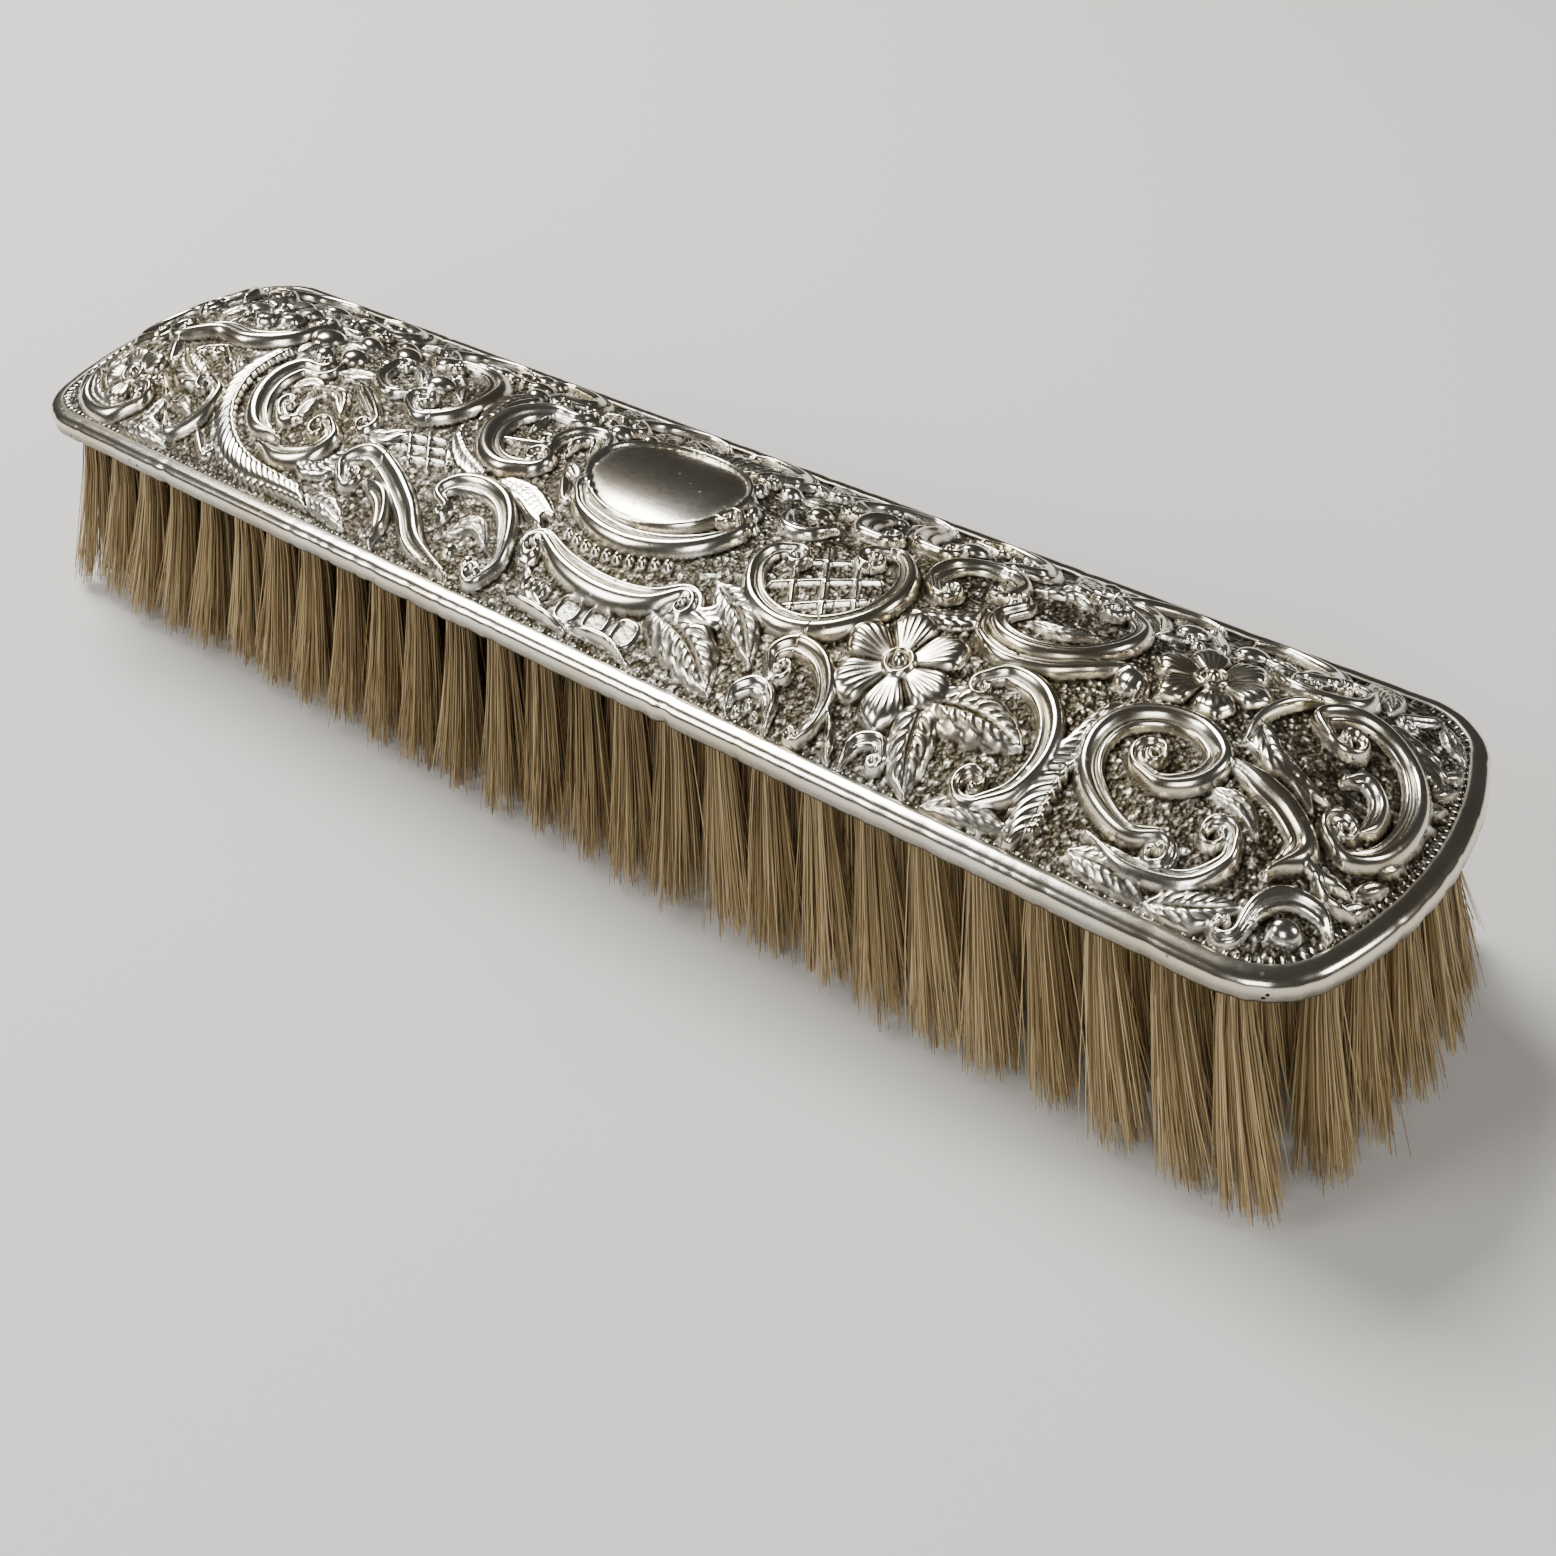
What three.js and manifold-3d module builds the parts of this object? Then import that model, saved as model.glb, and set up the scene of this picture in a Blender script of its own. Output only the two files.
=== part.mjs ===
// Silver-backed dressing-table brush: a crowned pressing of thin silver bedded in pitch on a
// two-part wooden stock, and seven lengthwise rows of drawn bristle tufts, each held by its wire.
// Millimetres. X runs along the brush, Z is up, and the bristle tips stand on Z = 0.
import * as THREE from 'three';
import { mergeVertices } from 'three/addons/utils/BufferGeometryUtils.js';
import Module from 'manifold-3d';

const wasm = await Module();
wasm.setup();

// Plan of the back
const LENGTH = 170;
const WIDTH = 41;
const END_BOW = 5.4; // how far the middle of each end stands beyond its corners
const CORNER_R = 8.2;

// Heights above the surface that the tips rest on
const RIM_Z = 24; // lower edge of the silver
const RIM_H = 2.3; // rim band
const CROWN = 6.7; // crest above the rim band
const CROWN_POWER = 2.1;

// Silver
const FIELD_INSET = 1.9; // the rim band's width in plan
const SHEET = 0.6;
const GROUND_DROP = 0.5; // how far the ground between the ornament is sunk below the sheet

// Stock
const GAP = 0.3;
const BOARD_BOTTOM_Z = 23;
const BOARD_TOP_Z = 25.5;
const BOARD_INSET = 1.4;
const PITCH_INSET = 3.8;
const PITCH_T = 0.5;
const BACKING_INSET = 4.5;

// Bristle
const ROWS = 7;
const ROW_PITCH = 5.4;
const TUFT_PITCH = 5.78;
const HOLE_INSET = 4.3; // centre of the outermost holes from the outline
const HOLE_R = 1.9;
const KNOT_R = 1.15;
const TIP_R_Y = 3;
const TIP_R_X = 3.3;
const SPLAY_X = 1.03; // tip spread over root spread
const SPLAY_Y = 1.17;
const TUFT_SIDES = 6;

// Drawing wire
const WIRE_R = 0.15;
const WIRE_SIDES = 8;
const WIRE_TAIL = 1.2;
const GROOVE_W = 1;
const GROOVE_H = 0.55;

// Facets
const CORNER_STEPS = 4;
const END_STEPS = 6;
const SIDE_STEPS = 8;

const halfLength = LENGTH / 2;
const halfWidth = WIDTH / 2;
const fieldZ = RIM_Z + RIM_H;
const fieldReach = halfWidth - FIELD_INSET;
const spineEnd = halfLength - halfWidth;
const endRadius = (halfWidth ** 2 + END_BOW ** 2) / (2 * END_BOW);
const endCentreX = halfLength - endRadius;
const cornerY = halfWidth - CORNER_R;
const cornerX = endCentreX + Math.sqrt((endRadius - CORNER_R) ** 2 - cornerY ** 2);
const cornerAngle = Math.atan2(cornerY, cornerX - endCentreX);

function arcPoints(centreX, centreY, radius, start, end, steps) {
  const points = [];
  for (let i = 0; i <= steps; i += 1) {
    const angle = start + ((end - start) * i) / steps;
    points.push([centreX + radius * Math.cos(angle), centreY + radius * Math.sin(angle)]);
  }
  return points;
}

// The outline moved inwards by inset, anticlockwise, with the same number of points every time.
function outline(inset) {
  const corner = arcPoints(cornerX, cornerY, CORNER_R - inset, cornerAngle, Math.PI / 2, CORNER_STEPS);
  const end = arcPoints(endCentreX, 0, endRadius - inset, 0, cornerAngle, END_STEPS / 2);
  const quarter = [...end.slice(0, -1), ...corner];
  for (let i = 1; i <= SIDE_STEPS / 2; i += 1) {
    quarter.push([cornerX * (1 - (2 * i) / SIDE_STEPS), halfWidth - inset]);
  }
  const left = quarter.slice(0, -1).reverse().map(([x, y]) => [-x, y]);
  const upper = [...quarter, ...left];
  const lower = upper.slice(1, -1).reverse().map(([x, y]) => [x, -y]);
  return [...upper, ...lower];
}

// A level ring of the outline.
function ring(inset, z) {
  return outline(inset).map(([x, y]) => new THREE.Vector3(x, y, z));
}

// How far a plan inset lies between the field's edge (0) and the spine (1).
function reach(inset) {
  return (inset - FIELD_INSET) / fieldReach;
}

// A ring on the crown, drop below the silver's outer face. At t = 1 it closes on the spine.
function crownRing(t, drop) {
  const z = fieldZ - drop + CROWN * (1 - Math.max(1 - t, 0) ** CROWN_POWER);
  return outline(FIELD_INSET).map(([x, y]) => {
    const spineX = THREE.MathUtils.clamp(x, -spineEnd, spineEnd);
    return new THREE.Vector3(x + (spineX - x) * t, y * (1 - t), z);
  });
}

function crownRings(fromInset, drop, steps) {
  const start = reach(fromInset);
  const rings = [];
  for (let i = 0; i <= steps; i += 1) {
    rings.push(crownRing(start + ((1 - start) * i) / steps, drop));
  }
  return rings;
}

// A flat floor that spreads from the spine to the outline.
function floorRing(z) {
  return crownRing(1, 0).map((point) => new THREE.Vector3(point.x, point.y, z));
}

function isSliver(a, b, c) {
  const tiny = 1e-6;
  return a.distanceTo(b) < tiny || b.distanceTo(c) < tiny || c.distanceTo(a) < tiny;
}

// Skins each stack of rings in turn. Rings go up the outside, or from the spine outwards below.
function skin(...stacks) {
  const vertices = [];
  const face = (a, b, c) => {
    if (!isSliver(a, b, c)) {
      vertices.push(...a.toArray(), ...b.toArray(), ...c.toArray());
    }
  };
  for (const rings of stacks) {
    for (let k = 0; k + 1 < rings.length; k += 1) {
      const count = rings[k].length;
      for (let i = 0; i < count; i += 1) {
        const j = (i + 1) % count;
        face(rings[k][i], rings[k][j], rings[k + 1][j]);
        face(rings[k][i], rings[k + 1][j], rings[k + 1][i]);
      }
    }
  }
  const geometry = new THREE.BufferGeometry();
  geometry.setAttribute('position', new THREE.Float32BufferAttribute(vertices, 3));
  return mergeVertices(geometry, 1e-5);
}

function toSolid(source) {
  const bare = source.clone();
  bare.deleteAttribute('normal');
  bare.deleteAttribute('uv');
  const merged = mergeVertices(bare, 1e-5);
  return new wasm.Manifold(new wasm.Mesh({
    numProp: 3,
    vertProperties: new Float32Array(merged.attributes.position.array),
    triVerts: new Uint32Array(merged.index.array),
  }));
}

function fromSolid(solid) {
  const mesh = solid.getMesh();
  const geometry = new THREE.BufferGeometry();
  geometry.setAttribute('position', new THREE.Float32BufferAttribute(mesh.vertProperties, 3));
  geometry.setIndex(new THREE.Uint32BufferAttribute(mesh.triVerts, 1));
  return geometry;
}

function box(width, depth, bottom, top, y) {
  const geometry = new THREE.BoxGeometry(width, depth, top - bottom);
  geometry.translate(0, y, (top + bottom) / 2);
  return toSolid(geometry);
}

// A faceted round bar along Z, as wide across its flats (X) as across its points (Y).
function bar(topR, bottomR, bottom, top) {
  const geometry = new THREE.CylinderGeometry(topR, bottomR, top - bottom, TUFT_SIDES);
  geometry.rotateX(Math.PI / 2);
  geometry.scale(1 / Math.cos(Math.PI / TUFT_SIDES), 1, 1);
  geometry.translate(0, 0, (top + bottom) / 2);
  return geometry;
}

// Half the length of a row of holes whose centres keep HOLE_INSET from the outline.
function rowReach(y) {
  const cornerReach = CORNER_R - HOLE_INSET;
  if (Math.abs(y) >= cornerY) {
    return cornerX + Math.sqrt(Math.max(cornerReach ** 2 - (Math.abs(y) - cornerY) ** 2, 0));
  }
  return endCentreX + Math.sqrt((endRadius - HOLE_INSET) ** 2 - y ** 2);
}

// Hole centres of one row, evenly spaced, with one at the middle of the brush.
function rowHoles(y) {
  const halfCount = Math.round(rowReach(y) / TUFT_PITCH);
  const pitch = rowReach(y) / halfCount;
  const xs = [];
  for (let i = -halfCount; i <= halfCount; i += 1) {
    xs.push(i * pitch);
  }
  return xs;
}

const rows = [];
for (let i = 0; i < ROWS; i += 1) {
  const y = (i - (ROWS - 1) / 2) * ROW_PITCH;
  rows.push({ number: i + 1, y, xs: rowHoles(y) });
}

// The silver pressing: the rolled rim, the crown, and its open hollow underneath.
function silverBack() {
  const lip = ring(SHEET + 0.4, RIM_Z);
  const outside = [
    lip,
    ring(0.35, RIM_Z),
    ring(0.05, RIM_Z + 0.4),
    ring(0, RIM_Z + 1.1),
    ring(0.2, RIM_Z + 1.8),
    ring(0.8, RIM_Z + 2.3),
    ring(1.4, RIM_Z + 2.35),
    ...crownRings(FIELD_INSET, 0, 6),
  ];
  const inside = [
    ...crownRings(FIELD_INSET, SHEET, 5).reverse(),
    ring(1.2, RIM_Z + 1.7),
    ring(SHEET, RIM_Z + 1.2),
    ring(SHEET, RIM_Z + 0.5),
    lip,
  ];
  return skin(outside, inside);
}

// Cuts a groove over the wire of each row into a solid's underside.
function cutGrooves(solid, wiredRows, bottom) {
  const grooves = wiredRows.map(({ y }) => {
    const length = 2 * (rowReach(y) + WIRE_TAIL + GAP);
    return box(length, GROOVE_W, bottom - 1, bottom + GROOVE_H, y);
  });
  return solid.subtract(wasm.Manifold.union(grooves));
}

// The filler between the silver and the backing board, grooved where the wires end in it.
function pitchFill() {
  const bottom = BOARD_TOP_Z + GAP;
  const hollowInset = BACKING_INSET - GAP;
  const topDrop = SHEET + GAP + GROUND_DROP;
  const foot = ring(hollowInset, bottom);
  const outside = [foot, ring(PITCH_INSET, bottom), ...crownRings(PITCH_INSET, topDrop, 5)];
  const inside = [...crownRings(hollowInset, topDrop + PITCH_T, 5).reverse(), foot];
  return fromSolid(cutGrooves(toSolid(skin(outside, inside)), rows, bottom));
}

// The cover board over the wires, crowned on top and grooved below.
function backingBoard() {
  const bottom = BOARD_TOP_Z + GAP;
  const drop = SHEET + GAP + GROUND_DROP + PITCH_T + GAP;
  const stack = [
    floorRing(bottom),
    ring(BACKING_INSET, bottom),
    ...crownRings(BACKING_INSET, drop, 5),
  ];
  return fromSolid(cutGrooves(toSolid(skin(stack)), rows.slice(1, -1), bottom));
}

// The face board with one bored hole for each tuft.
function bristleBoard() {
  const plate = skin([
    floorRing(BOARD_BOTTOM_Z),
    ring(BOARD_INSET, BOARD_BOTTOM_Z),
    ring(BOARD_INSET, BOARD_TOP_Z),
    floorRing(BOARD_TOP_Z),
  ]);
  const drill = toSolid(bar(HOLE_R, HOLE_R, BOARD_BOTTOM_Z - 1, BOARD_TOP_Z + 1));
  const holes = rows.flatMap(({ y, xs }) => xs.map((x) => drill.translate([x, y, 0])));
  return fromSolid(toSolid(plate).subtract(wasm.Manifold.union(holes)));
}

// One flared tuft, from its knot at the top of the board to its level tip.
function tuft(x, y) {
  const geometry = bar(KNOT_R, TIP_R_Y, 0, BOARD_TOP_Z);
  const position = geometry.attributes.position;
  const widen = (TIP_R_X / TIP_R_Y) - 1;
  for (let i = 0; i < position.count; i += 1) {
    const t = 1 - position.getZ(i) / BOARD_TOP_Z;
    const leanX = x * (1 + (SPLAY_X - 1) * t);
    const leanY = y * (1 + (SPLAY_Y - 1) * t);
    position.setX(i, leanX + position.getX(i) * (1 + widen * t));
    position.setY(i, leanY + position.getY(i));
  }
  return toSolid(geometry);
}

// A row of tufts, whose flared tips run into each other.
function bristleRow({ y, xs }) {
  return fromSolid(wasm.Manifold.union(xs.map((x) => tuft(x, y))));
}

function drawWire({ y }) {
  const length = 2 * (rowReach(y) + WIRE_TAIL);
  const geometry = new THREE.CylinderGeometry(WIRE_R, WIRE_R, length, WIRE_SIDES);
  geometry.rotateZ(Math.PI / 2);
  geometry.translate(0, y, BOARD_TOP_Z + GAP + WIRE_R);
  return geometry;
}

const silver = new THREE.MeshStandardMaterial({ color: 0xc9c7c0, metalness: 1, roughness: 0.22 });
const pitch = new THREE.MeshStandardMaterial({ color: 0x1e1814, metalness: 0, roughness: 0.6 });
const wood = new THREE.MeshStandardMaterial({ color: 0x5b3c26, metalness: 0, roughness: 0.55 });
const wire = new THREE.MeshStandardMaterial({ color: 0xb08d4a, metalness: 1, roughness: 0.4 });
const bristle = new THREE.MeshStandardMaterial({ color: 0xb99c6e, metalness: 0, roughness: 0.5 });

const brush = new THREE.Group();

function place(name, geometry, material) {
  const shape = geometry.index ? geometry.toNonIndexed() : geometry;
  shape.computeVertexNormals();
  const mesh = new THREE.Mesh(shape, material);
  mesh.name = name;
  brush.add(mesh);
}

place('silver_back', silverBack(), silver);
place('pitch_fill', pitchFill(), pitch);
place('backing_board', backingBoard(), wood);
place('bristle_board', bristleBoard(), wood);
for (const row of rows) {
  place(`draw_wire_${row.number}`, drawWire(row), wire);
  place(`bristle_row_${row.number}`, bristleRow(row), bristle);
}

export default brush;
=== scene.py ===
"""A silver-backed brush: a stamped silver shell on a wooden stock, with drawn tufts of bristle.

Plan sizes are millimetres, as a silversmith would note them. Meshes are in metres, Z up, with the
brush lying along X on the tips of its bristles.
"""

import logging
import math
from dataclasses import dataclass
from enum import Enum

import bpy
import numpy as np
from mathutils import Matrix, Vector


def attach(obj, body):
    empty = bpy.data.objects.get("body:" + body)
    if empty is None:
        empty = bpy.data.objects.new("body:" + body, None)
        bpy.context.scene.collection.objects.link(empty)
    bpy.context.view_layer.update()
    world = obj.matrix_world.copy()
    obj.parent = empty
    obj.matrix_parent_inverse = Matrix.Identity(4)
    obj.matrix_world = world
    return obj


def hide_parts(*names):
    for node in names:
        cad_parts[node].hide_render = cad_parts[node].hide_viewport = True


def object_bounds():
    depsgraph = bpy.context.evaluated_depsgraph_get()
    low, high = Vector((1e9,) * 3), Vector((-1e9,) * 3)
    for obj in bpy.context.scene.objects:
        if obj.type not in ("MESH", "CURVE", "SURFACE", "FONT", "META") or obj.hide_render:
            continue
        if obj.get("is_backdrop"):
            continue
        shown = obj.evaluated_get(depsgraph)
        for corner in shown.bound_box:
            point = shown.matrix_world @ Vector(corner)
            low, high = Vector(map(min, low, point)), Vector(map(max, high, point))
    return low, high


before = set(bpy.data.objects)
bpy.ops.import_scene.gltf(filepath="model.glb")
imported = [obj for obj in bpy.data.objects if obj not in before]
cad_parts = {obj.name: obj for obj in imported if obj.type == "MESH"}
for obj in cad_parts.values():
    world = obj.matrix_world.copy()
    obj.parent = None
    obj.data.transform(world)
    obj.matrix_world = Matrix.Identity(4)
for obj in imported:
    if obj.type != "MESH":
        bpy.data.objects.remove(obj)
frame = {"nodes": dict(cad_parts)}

LOG = logging.getLogger("brush")
MM = 0.001
IMAGE_SIDE = 1556
STEP = 0.1  # millimetres between the samples of a chased line

Point = tuple[float, float]
Window = tuple[slice, slice]


# ---------------------------------------------------------------- small helpers


def linear(code: str) -> tuple[float, float, float, float]:
    """Turns an sRGB hex colour into linear light.

    Args:
        code: Six hex digits, red first.

    Returns:
        Red, green, blue and an alpha of 1.
    """
    parts = [int(code[i : i + 2], 16) / 255 for i in (0, 2, 4)]
    light = [c / 12.92 if c <= 0.04045 else ((c + 0.055) / 1.055) ** 2.4 for c in parts]
    return (light[0], light[1], light[2], 1.0)


def add_node(
    tree: bpy.types.NodeTree, kind: str, inputs: dict | None = None, **settings: object
) -> bpy.types.Node:
    """Adds a node to a shader or geometry tree.

    Args:
        tree: The node tree.
        kind: The node's type name.
        inputs: Values or sockets for its inputs, by name or number.
        **settings: The node's own properties.

    Returns:
        The new node.
    """
    node = tree.nodes.new(kind)
    for name, value in settings.items():
        setattr(node, name, value)
    for key, value in (inputs or {}).items():
        if isinstance(value, bpy.types.NodeSocket):
            tree.links.new(value, node.inputs[key])
        else:
            node.inputs[key].default_value = value
    return node


def new_material(name: str) -> tuple[bpy.types.Material, bpy.types.NodeTree]:
    """Makes a material with an empty shader tree."""
    material = bpy.data.materials.new(name)
    material.use_nodes = True
    material.node_tree.nodes.clear()
    return material, material.node_tree


def noise(
    tree: bpy.types.NodeTree,
    place: bpy.types.NodeSocket,
    size_mm: float,
    detail: float,
    roughness: float = 0.5,
    distortion: float = 0.0,
) -> bpy.types.NodeSocket:
    """Adds noise with patches of about the given size."""
    inputs = {"Vector": place, "Scale": 1 / (size_mm * MM), "Detail": detail}
    inputs |= {"Roughness": roughness, "Distortion": distortion}
    return add_node(tree, "ShaderNodeTexNoise", inputs).outputs["Fac"]


def scatter(
    tree: bpy.types.NodeTree, place: bpy.types.NodeSocket, size_mm: float
) -> bpy.types.NodeSocket:
    """Adds the distance to scattered points that lie about the given size apart."""
    inputs = {"Vector": place, "Scale": 1 / (size_mm * MM)}
    return add_node(tree, "ShaderNodeTexVoronoi", inputs).outputs["Distance"]


def map_range(
    tree: bpy.types.NodeTree,
    value: bpy.types.NodeSocket,
    source: tuple[float, float] = (0.0, 1.0),
    target: tuple[float, float] = (0.0, 1.0),
) -> bpy.types.NodeSocket:
    """Adds a change of range from source to target, clamped at both ends."""
    inputs = {"Value": value, "From Min": source[0], "From Max": source[1]}
    inputs |= {"To Min": target[0], "To Max": target[1]}
    return add_node(tree, "ShaderNodeMapRange", inputs).outputs["Result"]


def mix(
    tree: bpy.types.NodeTree, share: object, first: object, second: object, **settings: object
) -> bpy.types.NodeSocket:
    """Adds a mix of two colours."""
    inputs = {0: share, 6: first, 7: second}
    return add_node(tree, "ShaderNodeMix", inputs, data_type="RGBA", **settings).outputs[2]


def add_surface(tree: bpy.types.NodeTree, inputs: dict) -> None:
    """Ends a shader tree with one physically based surface."""
    shader = add_node(tree, "ShaderNodeBsdfPrincipled", inputs)
    add_node(tree, "ShaderNodeOutputMaterial", {"Surface": shader.outputs[0]})


def smooth_step(value: np.ndarray, low: float, high: float) -> np.ndarray:
    """Rises smoothly from 0 at low to 1 at high."""
    t = np.clip((value - low) / (high - low), 0.0, 1.0)
    return t * t * (3 - 2 * t)


def turned(dx: np.ndarray, dy: np.ndarray, turn: float) -> tuple[np.ndarray, np.ndarray]:
    """Offsets along and across a direction that is turned by an angle."""
    c, n = math.cos(turn), math.sin(turn)
    return dx * c + dy * n, dy * c - dx * n


def blurred(values: np.ndarray, sigma: float) -> np.ndarray:
    """Gaussian blur of a map, with sigma in cells."""
    along = np.fft.fftfreq(values.shape[0])[:, None]
    across = np.fft.rfftfreq(values.shape[1])[None, :]
    damping = np.exp(-2 * (math.pi * sigma) ** 2 * (along**2 + across**2))
    return np.fft.irfft2(np.fft.rfft2(values) * damping, s=values.shape)


def spline(points: tuple[Point, ...] | list[Point], spacing: float) -> np.ndarray:
    """Draws a smooth curve through points.

    Args:
        points: Places that the curve passes through.
        spacing: Distance between the samples of the result.

    Returns:
        Evenly spaced samples, one row each.
    """
    knots = np.asarray(points, dtype=float)
    if len(knots) == 2:
        dense = knots
    else:
        padded = np.vstack([2 * knots[0] - knots[1], knots, 2 * knots[-1] - knots[-2]])
        t = np.linspace(0, 1, 24, endpoint=False)[:, None]
        spans = []
        for a, b, c, d in zip(padded, padded[1:], padded[2:], padded[3:]):
            spans.append(
                0.5
                * (
                    2 * b
                    + (c - a) * t
                    + (2 * a - 5 * b + 4 * c - d) * t**2
                    + (3 * b - 3 * c + d - a) * t**3
                )
            )
        dense = np.vstack([*spans, knots[-1:]])
    return evenly(dense, spacing)


def travel(line: np.ndarray) -> np.ndarray:
    """Distance travelled at each point of a polyline."""
    return np.concatenate([[0], np.cumsum(np.hypot(*np.diff(line, axis=0).T))])


def evenly(line: np.ndarray, spacing: float) -> np.ndarray:
    """Resamples a polyline at an even spacing."""
    travelled = travel(line)
    count = max(int(travelled[-1] / spacing) + 1, 3)
    at = np.linspace(0, travelled[-1], count)
    return np.column_stack([np.interp(at, travelled, line[:, i]) for i in range(line.shape[1])])


def place_object(name: str, data: bpy.types.ID) -> bpy.types.Object:
    """Makes an object and links it to the scene."""
    piece = bpy.data.objects.new(name, data)
    bpy.context.scene.collection.objects.link(piece)
    return piece


def build_mesh(
    name: str,
    points: np.ndarray,
    faces: list[np.ndarray],
    flat: tuple[np.ndarray, ...] = (),
) -> bpy.types.Object:
    """Makes a mesh object from arrays.

    Args:
        name: The object's name.
        points: Places in millimetres, one row each.
        faces: Arrays of vertex numbers, one row per face, shaded smooth.
        flat: More of them, shaded flat.

    Returns:
        The object, linked to the scene.
    """
    smooth_count = sum(len(f) for f in faces)
    faces = [*faces, *flat]
    mesh = bpy.data.meshes.new(name)
    corners = np.concatenate([f.ravel() for f in faces]).astype(np.int32)
    sizes = np.concatenate([np.full(len(f), f.shape[1]) for f in faces])
    mesh.vertices.add(len(points))
    mesh.vertices.foreach_set("co", (points * MM).astype(np.float32).ravel())
    mesh.loops.add(len(corners))
    mesh.loops.foreach_set("vertex_index", corners)
    mesh.polygons.add(len(sizes))
    starts = np.concatenate([[0], np.cumsum(sizes)[:-1]]).astype(np.int32)
    mesh.polygons.foreach_set("loop_start", starts)
    mesh.polygons.foreach_set("use_smooth", np.arange(len(sizes)) < smooth_count)
    mesh.update(calc_edges=True)
    mesh.validate()
    return place_object(name, mesh)


def add_attribute(piece: bpy.types.Object, name: str, values: np.ndarray) -> None:
    """Stores one number on each vertex of a piece."""
    attribute = piece.data.attributes.new(name, "FLOAT", "POINT")
    attribute.data.foreach_set("value", values.astype(np.float32).ravel())


def plain_copy(source: bpy.types.Object, name: str) -> bpy.types.Object:
    """Turns an object's evaluated nodes into a plain mesh object.

    Args:
        source: An object with a nodes modifier. It is removed.
        name: The new object's name.

    Returns:
        The plain mesh object.
    """
    graph = bpy.context.evaluated_depsgraph_get()
    mesh = bpy.data.meshes.new_from_object(source.evaluated_get(graph), depsgraph=graph)
    mesh.name = name
    bpy.data.objects.remove(source)
    return place_object(name, mesh)


# ---------------------------------------------------------------- the stock's plan and dome


@dataclass(frozen=True)
class Plan:
    """The stock's outline from above and the dome over it, in millimetres."""

    length: float = 170.0
    width: float = 41.0
    end_bow: float = 5.4
    corner: float = 8.2
    field_inset: float = 1.9
    rim_bottom: float = 24.0
    rim_height: float = 2.3
    crown: float = 6.7
    crown_power: float = 2.1

    @property
    def end_radius(self) -> float:
        """Radius of the bowed end."""
        return (self.width**2 / 4 + self.end_bow**2) / (2 * self.end_bow)

    @property
    def end_centre(self) -> float:
        """How far along the brush the bowed end's centre lies."""
        return self.length / 2 - self.end_radius

    @property
    def corner_centre(self) -> Point:
        """Centre of the round corner in the first quarter."""
        y = self.width / 2 - self.corner
        return (self.end_centre + math.sqrt((self.end_radius - self.corner) ** 2 - y**2), y)

    def quarter(self) -> np.ndarray:
        """The outline's first quarter as rows of x, y and the outward direction's angle."""
        corner_x, corner_y = self.corner_centre
        turn = math.atan2(corner_y, corner_x - self.end_centre)
        end = np.linspace(0, turn, 200, endpoint=False)
        bend = np.linspace(turn, math.pi / 2, 200)
        side = np.linspace(corner_x, 0, 200)[1:]
        return np.vstack(
            [
                np.column_stack(
                    [
                        self.end_centre + self.end_radius * np.cos(end),
                        self.end_radius * np.sin(end),
                        end,
                    ]
                ),
                np.column_stack(
                    [
                        corner_x + self.corner * np.cos(bend),
                        corner_y + self.corner * np.sin(bend),
                        bend,
                    ]
                ),
                np.column_stack(
                    [
                        side,
                        np.full(len(side), self.width / 2),
                        np.full(len(side), math.pi / 2),
                    ]
                ),
            ]
        )

    def loop(self, count: int) -> tuple[np.ndarray, np.ndarray]:
        """Goes once round the outline, anticlockwise from the +X end.

        Args:
            count: Number of evenly spaced points.

        Returns:
            The points, and the outward direction at each.
        """
        first = self.quarter()
        second = (first * [-1, 1, -1] + [0, 0, math.pi])[::-1]
        upper = np.vstack([first, second[1:]])
        lower = (upper * [1, -1, -1] + [0, 0, 2 * math.pi])[::-1]
        full = np.vstack([upper, lower[1:]])
        travelled = travel(full[:, :2])
        at = np.linspace(0, travelled[-1], count, endpoint=False)
        x, y, angle = (np.interp(at, travelled, full[:, i]) for i in range(3))
        return np.column_stack([x, y]), np.column_stack([np.cos(angle), np.sin(angle)])

    def climb(self, x: np.ndarray, y: np.ndarray) -> np.ndarray:
        """How far up the dome a place is, from 0 at the rim to 1 on the crest line."""
        spine = (self.length - self.width) / 2
        edge = self.quarter()
        edge_x = edge[:, 0] - self.field_inset * np.cos(edge[:, 2]) - spine
        edge_y = edge[:, 1] - self.field_inset * np.sin(edge[:, 2])
        kept = edge_x >= -1e-9
        bearing = np.arctan2(edge_y[kept], edge_x[kept])
        distance = np.hypot(edge_x[kept], edge_y[kept])
        past = np.maximum(np.abs(x) - spine, 0)
        limit = np.interp(np.arctan2(np.abs(y), past), bearing, distance)
        return np.clip(1 - np.hypot(past, y) / limit, 0, 1)

    def dome(self, x: np.ndarray, y: np.ndarray) -> np.ndarray:
        """Height of the smooth dome that the highest ornament reaches."""
        lift = self.crown * (1 - (1 - self.climb(x, y)) ** self.crown_power)
        return self.rim_bottom + self.rim_height + lift


# ---------------------------------------------------------------- chased ornament


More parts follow.
